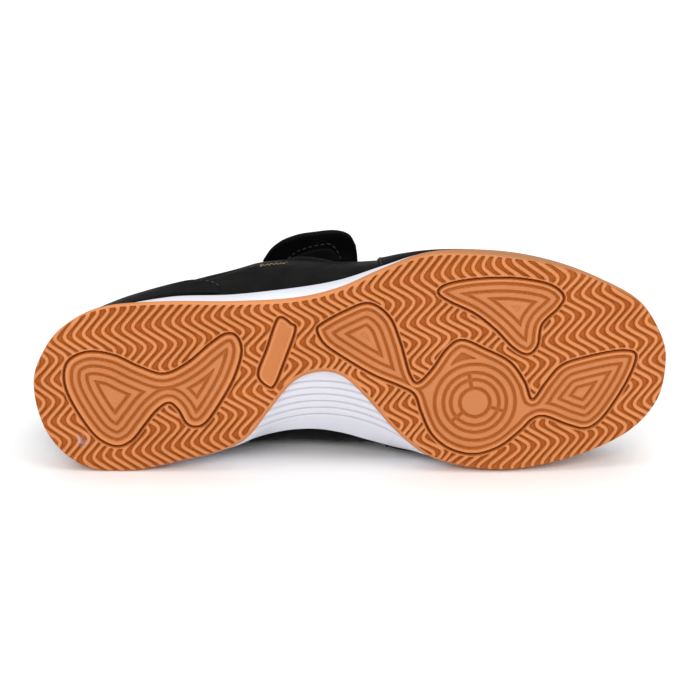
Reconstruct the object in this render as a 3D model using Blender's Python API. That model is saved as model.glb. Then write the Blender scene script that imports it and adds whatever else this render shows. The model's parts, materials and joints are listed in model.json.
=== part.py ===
"""Indoor soccer shoe for the right foot, lying on its inner side with the sole to the front.

The shoe is drawn upright first: x runs from heel to toe, y to the inner (medial) side and z up from the
ground. At the end every piece gets the same turn, so that the sole's edge and the upper lie on the floor.
Lengths are metres.
"""
import math

import bmesh
import bpy
import numpy as np
from mathutils import Matrix
from mathutils import Vector
from mathutils.geometry import delaunay_2d_cdt

# Driving dimensions

LENGTH = 0.228
WIDTH = 0.083
ALONG_PARTS = 228
ACROSS_PARTS = 83
GAP = 0.0003

TOE_SPRING = 0.010
SPRING_START = 0.70
HEEL_LIFT = 0.0015
HEEL_LIFT_END = 0.055

PLATE = 0.0035
GUM_WALL = 0.0025
GUM_HEIGHT = 0.010
GUM_BULGE = 0.0012
FLAT_BULGE = 0.0004
GUM_LEAN = math.radians(22)
EDGE_ROUNDING = 0.0012

ISLAND_LIFT = 0.0006
EDGE_LIFT = 0.0010
GROOVE_WIDTH = 0.0010
GROOVE_DEPTH = 0.0016
RING_WIDTH = 0.0013
RING_DEPTH = 0.0011

WEDGE_HEIGHT = 0.017
WEDGE_BULGE = 0.0006
WEDGE_SHARES = (0.35, 0.75)
ARCH_CURVE = 1.25

UPPER_WALL = 0.0020
UPPER_INSET = 0.0012
HEIGHT = 0.088
UP_PARTS = 88
COVER = 0.0008
COVER_GAP = 0.0006

INSOLE = 0.0028
INSOLE_GAP = 0.0013

TONGUE = 0.0035
STRAP = 0.0022
STRAP_GAP = 0.0005
STRAP_REST = 0.0009
STRAP_BACK = 81
STRAP_FRONT = 117
STRAP_TIP_ACROSS = -36
STRAP_TIP_UP = 60
STRAP_SAG = 1.4
PATCH = 0.0011

# How finely each form is divided

SOLE_STEPS = 3
UPPER_ROUND = 68
UPPER_RISE = 9
BED_GRID = 0.013
CLEAR_SHARE = 0.45
CURVE_STEP = 0.0042
SETTLE_ROUNDS = 8

# The sole's edge, a row for each place round it, from the heel's back by the outer side and the toe to
# the inner side. Lengths along are parts of LENGTH, lengths across parts of WIDTH, gum a share of GUM_HEIGHT.

SOLE_COLUMNS = ("tread_along", "tread_across", "rim_along", "rim_across", "gum")
SOLE_ROWS = (
    (0.0, 5.0, 4.5, 5.0, 0.90),
    (4.6, -9.0, 9.0, -5.4, 0.90),
    (12.7, -18.4, 16.8, -13.0, 0.80),
    (26.0, -24.9, 29.0, -19.3, 0.58),
    (48.0, -26.6, 49.0, -24.0, 0.42),
    (72.0, -26.5, 72.0, -25.0, 0.42),
    (94.0, -27.6, 94.0, -27.5, 0.42),
    (110.0, -31.6, 110.0, -30.7, 0.42),
    (125.0, -38.6, 125.0, -36.0, 0.48),
    (140.0, -44.2, 140.0, -40.9, 0.72),
    (155.0, -45.0, 155.0, -42.4, 0.94),
    (172.0, -43.5, 171.5, -41.4, 1.00),
    (188.0, -39.6, 187.0, -37.4, 1.00),
    (203.6, -33.0, 201.6, -30.8, 0.98),
    (218.0, -24.0, 214.8, -22.0, 0.95),
    (226.2, -10.8, 222.0, -9.9, 0.91),
    (228.0, -0.5, 223.8, -0.5, 0.90),
    (225.5, 12.5, 221.6, 11.3, 0.91),
    (217.0, 22.7, 214.2, 20.6, 0.95),
    (204.0, 29.5, 202.2, 27.6, 1.00),
    (188.0, 34.2, 187.3, 32.8, 0.98),
    (171.0, 36.6, 171.0, 35.8, 0.96),
    (156.0, 35.4, 156.0, 36.0, 0.86),
    (143.0, 31.0, 143.0, 35.0, 0.56),
    (131.0, 21.5, 131.0, 33.0, 0.38),
    (120.0, 8.5, 120.0, 30.2, 0.36),
    (111.0, 0.0, 111.0, 27.8, 0.36),
    (102.0, -1.5, 102.0, 26.5, 0.36),
    (93.0, 2.5, 93.0, 26.8, 0.36),
    (84.5, 13.0, 84.5, 28.4, 0.36),
    (76.5, 23.5, 76.5, 30.8, 0.38),
    (67.0, 29.0, 67.0, 33.0, 0.46),
    (52.0, 33.3, 52.5, 33.6, 0.60),
    (34.0, 37.0, 35.0, 32.8, 0.75),
    (17.0, 35.0, 19.5, 29.2, 0.85),
    (4.5, 23.0, 8.8, 19.0, 0.90),
)

# Height of the bed that the upper stands on, above the tread, as a share of WEDGE_HEIGHT

BED_COLUMNS = ("along", "share")
BED_ROWS = (
    (0, 1.06),
    (30, 1.05),
    (60, 1.00),
    (95, 1.00),
    (125, 0.90),
    (140, 0.83),
    (160, 0.78),
    (190, 0.73),
    (228, 0.69),
)

# The upper, a row for each meridian from the sole's rim to the topline. "at" counts the rows of SOLE_ROWS.
# belly: how far the wall first swings out and up. top: the topline. tail: how far the wall comes in from
# outside and below as it meets the topline. Outward lengths are parts of WIDTH, heights parts of HEIGHT.

UPPER_COLUMNS = ("at", "belly_out", "belly_up", "top_along", "top_across", "top_up", "tail_out", "tail_down")
UPPER_ROWS = (
    (0.0, 3.5, 12.0, 8.0, 5.0, 58.0, 4.0, 13.0),
    (1.5, 1.5, 10.0, 14.5, -3.4, 55.5, 4.0, 12.0),
    (3.0, 0.8, 10.0, 30.0, -11.4, 50.0, 4.5, 11.0),
    (4.0, 4.0, 12.0, 46.0, -15.6, 47.5, 7.0, 11.0),
    (5.0, 12.0, 16.0, 66.0, -19.0, 52.0, 12.5, 11.0),
    (5.7, 11.3, 16.0, 86.0, -13.8, 67.0, 16.0, 8.0),
    (7.0, 8.5, 13.0, 110.0, -11.0, 62.5, 16.5, 4.5),
    (8.4, 3.0, 11.0, 128.0, -7.6, 58.0, 16.5, 2.0),
    (10.3, -1.7, 12.0, 133.6, -3.6, 56.4, 18.0, 3.5),
    (12.6, -1.7, 13.0, 134.7, -1.6, 56.0, 29.0, 7.5),
    (16.0, 0.0, 14.0, 135.0, 0.3, 56.0, 38.0, 10.0),
    (19.4, 2.0, 13.5, 134.7, 2.2, 56.0, 30.0, 7.5),
    (21.8, 2.5, 12.0, 133.6, 4.4, 56.4, 20.0, 3.5),
    (24.0, 8.0, 8.5, 128.0, 8.8, 58.2, 19.0, 2.0),
    (26.1, 17.0, 6.0, 110.0, 13.2, 63.0, 22.5, 2.5),
    (28.9, 15.5, 6.5, 86.0, 18.0, 67.5, 17.5, 6.0),
    (30.3, 10.5, 8.0, 68.0, 24.5, 53.5, 8.5, 10.0),
    (31.7, 7.0, 10.0, 46.0, 27.0, 47.5, 5.0, 10.0),
    (34.0, 7.0, 11.0, 18.5, 19.5, 54.5, 4.0, 12.0),
)

# Tread islands: closed outlines of the moulded grooves, parts of LENGTH and of WIDTH

HEEL_BOW = (
    (11.2, 0.5), (12.6, 8.0), (18.0, 18.3), (23.2, 24.7), (29.5, 27.5), (35.0, 25.2), (39.5, 19.6),
    (43.9, 14.0), (48.5, 10.8), (51.9, 13.4), (54.6, 18.4), (58.0, 20.0), (61.9, 18.3), (67.1, 10.8),
    (72.1, 1.5), (75.0, -8.3), (73.4, -14.2), (69.4, -15.2), (63.5, -11.2), (55.5, -4.2), (47.0, -0.2),
    (38.5, -2.8), (29.4, -7.2), (20.3, -8.5), (13.3, -5.4),
)
PIVOT_CHAIN = (
    (102.0, -16.5), (104.6, -11.4), (111.0, -6.6), (122.0, 0.2), (132.0, 4.6), (137.0, 7.8), (139.4, 14.5),
    (143.2, 22.8), (149.8, 28.4), (158.7, 30.5), (167.8, 27.6), (175.0, 21.8), (179.6, 17.2), (184.2, 16.4),
    (192.5, 20.0), (199.2, 21.7), (204.8, 18.3), (211.2, 9.2), (215.7, 0.2), (216.4, -5.7), (209.8, -7.1),
    (198.1, -5.4), (189.6, -2.7), (184.1, 3.5), (179.3, 9.9), (176.4, 3.0), (171.0, -4.5), (162.0, -9.5),
    (153.8, -12.9), (148.5, -9.7), (143.0, -1.6), (138.0, 3.3), (135.0, -0.4), (131.6, -12.4), (127.7, -21.6),
    (120.5, -26.6), (112.0, -23.7), (103.8, -19.0),
)
OUTER_FIN = (
    (145.0, -30.6), (149.0, -27.3), (158.0, -22.8), (165.5, -16.8), (172.2, -9.8), (177.3, -7.3),
    (180.8, -10.5), (182.2, -18.3), (188.0, -24.4), (189.7, -28.8), (184.2, -33.3), (172.0, -35.8),
    (158.7, -35.6), (148.2, -33.6),
)
BARE_PLATE = (
    (80.8, 0.2), (84.6, 4.9), (87.0, 3.6), (90.3, -4.9), (94.3, -16.6), (92.6, -19.1), (89.3, -21.4),
    (87.3, -19.4), (84.0, -9.4),
)
ISLANDS = (HEEL_BOW, PIVOT_CHAIN, OUTER_FIN, BARE_PLATE)

PIVOT_CENTRE = (158.6, 10.7)
RING_RADII = (5.4, 8.6, 11.3, 14.5)

# The tongue's crown, from its root under the vamp to its top: place, height and half width

TONGUE_COLUMNS = ("along", "across", "up", "half_width", "droop")
TONGUE_ROWS = (
    (146.0, 0.0, 47.0, 13.0, 2.5),
    (136.0, 0.2, 50.5, 15.5, 3.5),
    (124.0, 0.6, 55.0, 17.0, 4.6),
    (110.0, 1.1, 60.0, 18.0, 5.6),
    (97.0, 2.0, 64.5, 17.0, 6.2),
    (88.0, 2.7, 69.0, 14.5, 6.4),
    (80.0, 3.1, 75.0, 13.0, 8.6),
    (75.0, 3.3, 82.0, 12.5, 7.4),
    (72.0, 3.4, 88.0, 11.0, 6.0),
)

# The strap's free end: how much shorter it is at each place across, as a share of its reach

STRAP_STATIONS = (0.0, 0.07, 0.16, 0.32, 0.55, 0.80, 0.92, 0.975, 1.0)
STRAP_SHORT = (0.58, 0.40, 0.25, 0.11, 0.025, 0.0, 0.06, 0.17, 0.42)
HOOK_STATIONS = (3, 4, 5, 6)

GUM_COLOUR = (0.62, 0.27, 0.09, 1)
WHITE_COLOUR = (0.74, 0.76, 0.83, 1)
BLACK_COLOUR = (0.012, 0.013, 0.012, 1)
LINING_COLOUR = (0.02, 0.02, 0.022, 1)
TAPE_COLOUR = (0.018, 0.018, 0.02, 1)


def along(parts):
    return parts * LENGTH / ALONG_PARTS


def across(parts):
    return parts * WIDTH / ACROSS_PARTS


def up(parts):
    return parts * HEIGHT / UP_PARTS


def column(rows, names, name):
    return np.array([row[names.index(name)] for row in rows], float)


def spline(knots, values, period=None):
    """Smooth curve through values at knots, closed when a period is given."""
    knots = np.asarray(knots, float)
    values = np.asarray(values, float)
    if period:
        knots = np.concatenate([knots[-2:] - period, knots, knots[:3] + period])
        values = np.concatenate([values[-2:], values, values[:3]])
    slopes = np.gradient(values, knots, axis=0)

    def read(place):
        place = float(place)
        if period:
            place = place % period
        place = min(max(place, knots[0]), knots[-1])
        low = min(max(int(np.searchsorted(knots, place, side="right")) - 1, 0), len(knots) - 2)
        span = knots[low + 1] - knots[low]
        u = (place - knots[low]) / span
        start, end = values[low], values[low + 1]
        push, pull = slopes[low] * span, slopes[low + 1] * span
        return ((2 * u**3 - 3 * u**2 + 1) * start + (u**3 - 2 * u**2 + u) * push
                + (3 * u**2 - 2 * u**3) * end + (u**3 - u**2) * pull)

    return read


# Sole functions

ROUND = len(SOLE_ROWS)
SOLE_SCALE = np.array([LENGTH / ALONG_PARTS, WIDTH / ACROSS_PARTS] * 2 + [GUM_HEIGHT])
sole_at = spline(range(ROUND), np.array(SOLE_ROWS) * SOLE_SCALE, ROUND)
bed_share = spline(along(column(BED_ROWS, BED_COLUMNS, "along")), column(BED_ROWS, BED_COLUMNS, "share"))


def ground(x):
    """Height of the tread plane: flat, lifted a little under the heel's end and more under the toe."""
    toe = max(0.0, x - SPRING_START * LENGTH) / ((1 - SPRING_START) * LENGTH)
    heel = max(0.0, HEEL_LIFT_END * LENGTH - x) / (HEEL_LIFT_END * LENGTH)
    return TOE_SPRING * toe**2 + HEEL_LIFT * heel**2


def bed(x):
    return ground(x) + WEDGE_HEIGHT * float(bed_share(x))


def tread_point(t):
    return Vector(sole_at(t)[0:2])


def rim_point(t):
    return Vector(sole_at(t)[2:4])


def outward(point, t):
    """Unit vector that points out of the closed curve at t."""
    step = 0.02
    way = point(t + step) - point(t - step)
    return Vector((way.y, -way.x)).normalized()


def gum_height(t):
    return max(float(sole_at(t)[4]), PLATE)


def gum_top_point(t):
    """Outer corner at the top of the gum wall: it leans towards the rim, by GUM_LEAN at most."""
    start = tread_point(t)
    run = rim_point(t) - start
    height = gum_height(t)
    rise = bed(start.x) - ground(start.x)
    reach = min(run.length * height / rise, height * math.tan(GUM_LEAN))
    return start + run.normalized() * reach


def sole_places(steps=SOLE_STEPS):
    return [i / steps for i in range(ROUND * steps)]


# Mesh helpers

def raise_point(flat, z):
    return Vector((flat.x, flat.y, z))


def add_loop(bm, points):
    return [bm.verts.new(p) for p in points]


def bridge(bm, low, high, closed=True):
    """Quads between two rows of vertices, facing out when low is below high and they run anticlockwise."""
    count = len(low)
    for i in range(count if closed else count - 1):
        j = (i + 1) % count
        bm.faces.new((low[i], low[j], high[j], high[i]))


def cap(bm, ring, height, downward, inner_lines=()):
    """Fill a ring of vertices. height gives z at a place along. inner_lines are (points, level)."""
    flat = [Vector((v.co.x, v.co.y)) for v in ring]
    levels = [0.0] * len(flat)
    edges = [(i, (i + 1) % len(flat)) for i in range(len(flat))]
    for points, level in inner_lines:
        first = len(flat)
        flat.extend(points)
        levels.extend([level] * len(points))
        edges.extend((first + i, first + (i + 1) % len(points)) for i in range(len(points)))
    for place, level in grid_places(flat[:len(ring)], flat, inner_lines):
        flat.append(place)
        levels.append(level)
    places, _, faces, origins, _, _ = delaunay_2d_cdt(flat, edges, [], 1, 1e-7)
    corners = []
    for place, origin in zip(places, origins):
        known = [o for o in origin if o < len(ring)]
        if known:
            corners.append(ring[known[0]])
        else:
            level = levels[origin[0]] if origin else 0.0
            corners.append(bm.verts.new((place.x, place.y, height(place.x) + level)))
    for face in faces:
        order = reversed(face) if downward else face
        bm.faces.new([corners[i] for i in order])


def inside(polygon, place):
    hits = 0
    for a, b in zip(polygon, polygon[1:] + polygon[:1]):
        if (a.y > place.y) != (b.y > place.y):
            if place.x < a.x + (place.y - a.y) * (b.x - a.x) / (b.y - a.y):
                hits += 1
    return hits % 2 == 1


def grid_places(border, lines, inner_lines):
    """Points between the lines that let a filled face follow the toe spring, with their levels."""
    low_x = min(p.x for p in border)
    high_x = max(p.x for p in border)
    low_y = min(p.y for p in border)
    high_y = max(p.y for p in border)
    fixed = np.array([(p.x, p.y) for p in lines])
    found = []
    for i in range(1, int((high_x - low_x) / BED_GRID) + 1):
        for j in range(1, int((high_y - low_y) / BED_GRID) + 1):
            place = Vector((low_x + i * BED_GRID, low_y + j * BED_GRID))
            if np.min(np.hypot(*(fixed - place).T)) < CLEAR_SHARE * BED_GRID or not inside(border, place):
                continue
            found.append((place, line_level(place, inner_lines)))
    return found


def line_level(place, inner_lines):
    """Level of a place: that of the innermost closed line round it."""
    level = 0.0
    for points, inner_level in inner_lines:
        if inside(list(points), place):
            level = inner_level
    return level


def slab(bm, outer, inner):
    """Closed body between two grids of points of one size."""
    rows, columns = len(outer), len(outer[0])
    skin = [[bm.verts.new(p) for p in row] for row in outer]
    back = [[bm.verts.new(p) for p in row] for row in inner]
    for i in range(rows - 1):
        for j in range(columns - 1):
            bm.faces.new((skin[i][j], skin[i + 1][j], skin[i + 1][j + 1], skin[i][j + 1]))
            bm.faces.new((back[i][j + 1], back[i + 1][j + 1], back[i + 1][j], back[i][j]))
    for j in range(columns - 1):
        bm.faces.new((skin[0][j], skin[0][j + 1], back[0][j + 1], back[0][j]))
        bm.faces.new((skin[-1][j + 1], skin[-1][j], back[-1][j], back[-1][j + 1]))
    for i in range(rows - 1):
        bm.faces.new((skin[i + 1][0], skin[i][0], back[i][0], back[i + 1][0]))
        bm.faces.new((skin[i][-1], skin[i + 1][-1], back[i + 1][-1], back[i][-1]))


def finish(bm, name, material, sharp=35):
    """Turn a bmesh into one named object that is closed and faces out."""
    bmesh.ops.remove_doubles(bm, verts=bm.verts, dist=1e-6)
    bmesh.ops.triangulate(bm, faces=bm.faces, quad_method="SHORT_EDGE")
    bmesh.ops.recalc_face_normals(bm, faces=bm.faces)
    if bm.calc_volume(signed=True) < 0:
        bmesh.ops.reverse_faces(bm, faces=bm.faces)
    mesh = bpy.data.meshes.new(name)
    bm.to_mesh(mesh)
    bm.free()
    mesh.shade_smooth()
    mesh.set_sharp_from_angle(angle=math.radians(sharp))
    mesh.materials.append(material)
    piece = bpy.data.objects.new(name, mesh)
    bpy.context.scene.collection.objects.link(piece)
    return piece


def make_material(name, colour, roughness):
    material = bpy.data.materials.new(name)
    material.use_nodes = True
    shader = material.node_tree.nodes["Principled BSDF"]
    shader.inputs["Base Color"].default_value = colour
    shader.inputs["Roughness"].default_value = roughness
    shader.inputs["Metallic"].default_value = 0.0
    return material


# Outsole

def closed_curve(points, step=CURVE_STEP):
    """Points at even steps along a smooth closed curve through the drawing's points."""
    count = len(points)
    read = spline(range(count), np.array([(along(x), across(y)) for x, y in points]), count)
    fine = [Vector(read(i / 12)) for i in range(count * 12)]
    lengths = [(b - a).length for a, b in zip(fine, fine[1:] + fine[:1])]
    total = sum(lengths)
    wanted = max(8, round(total / step))
    picked, run, k = [], 0.0, 0
    for i, piece in enumerate(lengths):
        if run >= k * total / wanted and len(picked) < wanted:
            picked.append(fine[i])
            k += 1
        run += piece
    return picked


def offset_curve(points, distance):
    """The closed curve moved outwards by distance, for anticlockwise points."""
    moved = []
    for i, point in enumerate(points):
        way = points[(i + 1) % len(points)] - points[i - 1]
        moved.append(point + Vector((way.y, -way.x)).normalized() * distance)
    return moved


def anticlockwise(points):
    area = sum(a.x * b.y - b.x * a.y for a, b in zip(points, points[1:] + points[:1]))
    return points if area > 0 else list(reversed(points))


def circle(radius, centre, step=CURVE_STEP):
    count = max(14, round(2 * math.pi * radius / step))
    return [centre + radius * Vector((math.cos(2 * math.pi * i / count), math.sin(2 * math.pi * i / count)))
            for i in range(count)]


def tread_lines():
    """Closed lines of the tread with their levels above the islands' plane, outermost first."""
    lines = []
    for island in ISLANDS:
        middle = anticlockwise(closed_curve(island))
        lines.append((offset_curve(middle, GROOVE_WIDTH / 2), ISLAND_LIFT))
        lines.append((middle, GROOVE_DEPTH))
        lines.append((offset_curve(middle, -GROOVE_WIDTH / 2), 0.0))
    centre = Vector((along(PIVOT_CENTRE[0]), across(PIVOT_CENTRE[1])))
    for radius in sorted((along(r) for r in RING_RADII), reverse=True):
        lines.append((circle(radius + RING_WIDTH / 2, centre), 0.0))
        lines.append((circle(radius, centre), RING_DEPTH))
        lines.append((circle(radius - RING_WIDTH / 2, centre), 0.0))
    return lines


def make_outsole(material):
    bm = bmesh.new()
    places = sole_places()
    foot, belly, top, brim, floor, field = [], [], [], [], [], []
    for t in places:
        edge = tread_point(t)
        way = outward(tread_point, t)
        low = ground(edge.x)
        height = gum_height(t)
        corner = gum_top_point(t)
        cup = min(1.0, max(0.0, (height - PLATE) / (GUM_HEIGHT - PLATE)))
        inner = edge - way * GUM_WALL
        field.append(raise_point(edge - way * EDGE_ROUNDING, low + ISLAND_LIFT))
        foot.append(raise_point(edge, low + EDGE_LIFT))
        middle = edge.lerp(corner, 0.5) + way * (FLAT_BULGE + (GUM_BULGE - FLAT_BULGE) * cup)
        belly.append(raise_point(middle, low + (EDGE_LIFT + height) / 2))
        top.append(raise_point(corner, low + height))
        brim.append(raise_point(inner.lerp(corner - way * GUM_WALL, cup), low + height))
        floor.append(raise_point(inner.lerp(corner - way * GUM_WALL, cup), low + PLATE))
    rings = [add_loop(bm, ring) for ring in (field, foot, belly, top, brim, floor)]
    for low_ring, high_ring in zip(rings, rings[1:]):
        bridge(bm, low_ring, high_ring)
    cap(bm, rings[0], ground, True, tread_lines())
    cap(bm, rings[-1], lambda x: ground(x) + PLATE, False)
    return finish(bm, "outsole", material)


# Midsole

def make_midsole(material):
    bm = bmesh.new()
    bottom, cup_top, ledge, lower, upper_ring, rim, top = [], [], [], [], [], [], []
    for t in sole_places():
        edge = tread_point(t)
        way = outward(tread_point, t)
        low = ground(edge.x)
        height = gum_height(t)
        corner = gum_top_point(t)
        cup = min(1.0, max(0.0, (height - PLATE) / (GUM_HEIGHT - PLATE)))
        inner = (edge - way * GUM_WALL).lerp(corner - way * GUM_WALL, cup) - way * GAP
        rim_place = rim_point(t)
        rim_way = outward(rim_point, t)
        high = bed(rim_place.x)
        start = low + height + GAP
        bottom.append(raise_point(inner, low + PLATE + GAP))
        cup_top.append(raise_point(inner, start))
        ledge.append(raise_point(corner - way * GAP, start))
        for share, ring in zip(WEDGE_SHARES, (lower, upper_ring)):
            place = corner.lerp(rim_place, share) + way * WEDGE_BULGE * 4 * share * (1 - share)
            ring.append(raise_point(place, start + (high - start) * share**ARCH_CURVE))
        rim.append(raise_point(rim_place, high - GAP))
        top.append(raise_point(rim_place - rim_way * UPPER_INSET / 2, high))
    rings = [add_loop(bm, ring) for ring in (bottom, cup_top, ledge, lower, upper_ring, rim, top)]
    for low_ring, high_ring in zip(rings, rings[1:]):
        bridge(bm, low_ring, high_ring)
    cap(bm, rings[0], lambda x: ground(x) + PLATE + GAP, True)
    cap(bm, rings[-1], bed, False)
    return finish(bm, "midsole", material)


# Upper

UPPER_SCALE = np.array([WIDTH / ACROSS_PARTS, HEIGHT / UP_PARTS, LENGTH / ALONG_PARTS,
                        WIDTH / ACROSS_PARTS, HEIGHT / UP_PARTS, WIDTH / ACROSS_PARTS, HEIGHT / UP_PARTS])
upper_at = spline(column(UPPER_ROWS, UPPER_COLUMNS, "at"),
                  np.array([row[1:] for row in UPPER_ROWS]) * UPPER_SCALE, ROUND)


def meridian(t):
    """The four control points of the wall's curve at t, from the rim to the topline."""
    belly_out, belly_up, top_x, top_y, top_z, tail_out, tail_down = upper_at(t)
    way = outward(rim_point, t)
    foot = rim_point(t) - way * UPPER_INSET
    start = raise_point(foot, bed(foot.x) + GAP)
    end = Vector((top_x, top_y, top_z))
    run = (foot - Vector((top_x, top_y))).normalized()
    belly = start + raise_point(way, 0) * belly_out + Vector((0, 0, belly_up))
    tail = end + raise_point(run, 0) * tail_out - Vector((0, 0, tail_down))
    return start, belly, tail, end


def wall_point(t, s):
    a, b, c, d = meridian(t)
    r = 1 - s
    return a * r**3 + b * 3 * r**2 * s + c * 3 * r * s**2 + d * s**3


def wall_normal(t, s):
    step = 0.01
    low, high = max(s - step, 0.0), min(s + step, 1.0)
    round_way = wall_point(t + step * 4, s) - wall_point(t - step * 4, s)
    rise_way = wall_point(t, high) - wall_point(t, low)
    return round_way.cross(rise_way).normalized()


def shell_point(t, s, depth):
    """A place on the upper's wall, depth below its outer face, or above it when depth is negative."""
    return wall_point(t, s) - wall_normal(t, s) * depth


UPPER_PLACES = [ROUND * i / UPPER_ROUND for i in range(UPPER_ROUND)]
UPPER_RISES = [i / UPPER_RISE for i in range(UPPER_RISE + 1)]


def make_upper(material):
    bm = bmesh.new()
    outer = [[wall_point(t, s) for t in UPPER_PLACES] for s in UPPER_RISES]
    inner = [[shell_point(t, s, UPPER_WALL) for t in UPPER_PLACES] for s in reversed(UPPER_RISES)]
    for under, over in zip(inner[-1], outer[0]):
        under.z = bed(under.x) + GAP
        over.z = bed(over.x) + GAP
    rings = [add_loop(bm, ring) for ring in outer + inner]
    for low_ring, high_ring in zip(rings, rings[1:] + rings[:1]):
        bridge(bm, low_ring, high_ring)
    return finish(bm, "upper", material, 50)


def make_insole(material):
    bm = bmesh.new()
    low, high = [], []
    for t in UPPER_PLACES:
        for s, ring, lift in ((0.0, low, GAP), (0.0, high, GAP + INSOLE)):
            place = shell_point(t, s, UPPER_WALL + INSOLE_GAP)
            flat = Vector((place.x, place.y))
            ring.append(raise_point(flat, bed(flat.x) + lift))
    rings = [add_loop(bm, low), add_loop(bm, high)]
    bridge(bm, rings[0], rings[1])
    cap(bm, rings[0], lambda x: bed(x) + GAP, True)
    cap(bm, rings[1], lambda x: bed(x) + GAP + INSOLE, False)
    return finish(bm, "insole", material)


# Covers sewn on the upper. Places count the rows of SOLE_ROWS, rises are shares of the wall's own rise.

COVER_LOW = 0.03
COVER_RISES = 6
COUNTER_PLACES = (-5.0, 5.0)
COUNTER_RISE = (0.10, 0.72, 0.6)
GUARD_PLACES = (7.9, 24.4)
GUARD_RISE = (0.34, 0.64, 1.5)
PATCH_PLACES = (5.8, 6.9)
PATCH_RISE = (0.56, 0.86)
PATCH_RISES = 3


def make_cover(name, ends, height, material, low=COVER_LOW, rises=COVER_RISES):
    """A panel that follows the upper's own meridians from one end place to the other, up to height(u)."""
    bm = bmesh.new()
    step = ROUND / UPPER_ROUND
    places = [i * step for i in range(round(ends[0] / step), round(ends[1] / step) + 1)]
    grids = ([], [])
    for i, t in enumerate(places):
        top = height(i / (len(places) - 1))
        for grid, depth in zip(grids, (-COVER_GAP - COVER, -COVER_GAP)):
            grid.append([shell_point(t, low + (top - low) * j / rises, depth) for j in range(rises + 1)])
    slab(bm, grids[0], grids[1])
    return finish(bm, name, material, 50)


def counter_height(u):
    """The heel panel's top edge, a share of the wall's rise: low at its ends, high at the heel's back."""
    low, high, fullness = COUNTER_RISE
    return low + (high - low) * math.sin(math.pi * u)**fullness


def guard_height(u):
    """The toe panel's top edge, a share of the wall's rise: lowest over the toe."""
    low, high, curve = GUARD_RISE
    return low + (high - low) * abs(2 * u - 1)**curve


def patch_height(u):
    return PATCH_RISE[1]


# Tongue and strap

TONGUE_SIDES = (-1.0, -0.75, -0.4, 0.0, 0.4, 0.75, 1.0)
TONGUE_THINNING = 0.55
TONGUE_SCALE = np.array([WIDTH / ACROSS_PARTS, HEIGHT / UP_PARTS, WIDTH / ACROSS_PARTS, HEIGHT / UP_PARTS])
tongue_at = spline(along(column(TONGUE_ROWS, TONGUE_COLUMNS, "along"))[::-1],
                   (np.array([row[1:] for row in TONGUE_ROWS]) * TONGUE_SCALE)[::-1])


def make_tongue(material):
    bm = bmesh.new()
    grids = ([], [])
    for x in along(column(TONGUE_ROWS, TONGUE_COLUMNS, "along")):
        y, z, half, droop = tongue_at(x)
        for grid, depth in zip(grids, (0.0, TONGUE)):
            row = []
            for side in TONGUE_SIDES:
                fall = droop * side**2 + depth * (1 - TONGUE_THINNING * side**2)
                row.append(Vector((x, y + half * side, z - fall)))
            grid.append(row)
    slab(bm, grids[0], grids[1])
    return finish(bm, "tongue", material, 60)


def place_with_top(first, last, x):
    """The place between first and last whose topline lies at x."""
    for _ in range(40):
        middle = (first + last) / 2
        if (meridian(middle)[3].x < x) == (meridian(last)[3].x > meridian(first)[3].x):
            first = middle
        else:
            last = middle
    return (first + last) / 2


STRAP_RISES = [0.58, 0.64, 0.7, 0.76, 0.82, 0.88, 0.94]
ARCH_STEPS = 8
TAB_STEPS = 5
OUTER_THROAT = (5.4, 8.0)
INNER_THROAT = (30.0, 24.6)


def curve_through(start, middle, end, u):
    """A point on the parabola that starts at start, passes middle halfway and stops at end."""
    control = 2 * middle - (start + end) / 2
    return start * (1 - u)**2 + control * 2 * u * (1 - u) + end * u**2


def strap_line(x, short):
    """Middle line of the strap's lower face at x: up the inner side, over the throat, to the free end."""
    inner_place = place_with_top(INNER_THROAT[0], INNER_THROAT[1], x)
    outer_place = place_with_top(OUTER_THROAT[0], OUTER_THROAT[1], x)
    line = [shell_point(inner_place, s, -STRAP_GAP) for s in STRAP_RISES]
    start = shell_point(inner_place, 1.0, -STRAP_GAP)
    end = shell_point(outer_place, 1.0, -STRAP_GAP)
    tongue_y, tongue_z, _, _ = tongue_at(x)
    crown = Vector((x, tongue_y, tongue_z + STRAP_REST))
    for step in range(ARCH_STEPS + 1):
        line.append(curve_through(start, crown, end, step / ARCH_STEPS))
    tip = Vector((x, across(STRAP_TIP_ACROSS), up(STRAP_TIP_UP)))
    tip = end.lerp(tip, 1 - short)
    bend = end.lerp(tip, 0.5) + Vector((0, 0, up(STRAP_SAG) * (1 - short)))
    for step in range(1, TAB_STEPS + 1):
        line.append(curve_through(end, bend, tip, step / TAB_STEPS))
    return line


def make_strap(material):
    bm = bmesh.new()
    grids = ([], [])
    reach = STRAP_FRONT - STRAP_BACK
    for share, short in zip(STRAP_STATIONS, STRAP_SHORT):
        line = strap_line(along(STRAP_BACK + reach * share), short)
        ways = [(b - a) for a, b in zip(line[:1] + line[:-1], line[1:] + line[-1:])]
        normals = [Vector((0, way.z, -way.y)).normalized() for way in ways]
        grids[0].append([p + n * STRAP for p, n in zip(line, normals)])
        grids[1].append(line)
    slab(bm, grids[0], grids[1])
    return finish(bm, "strap", material, 50)


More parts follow.
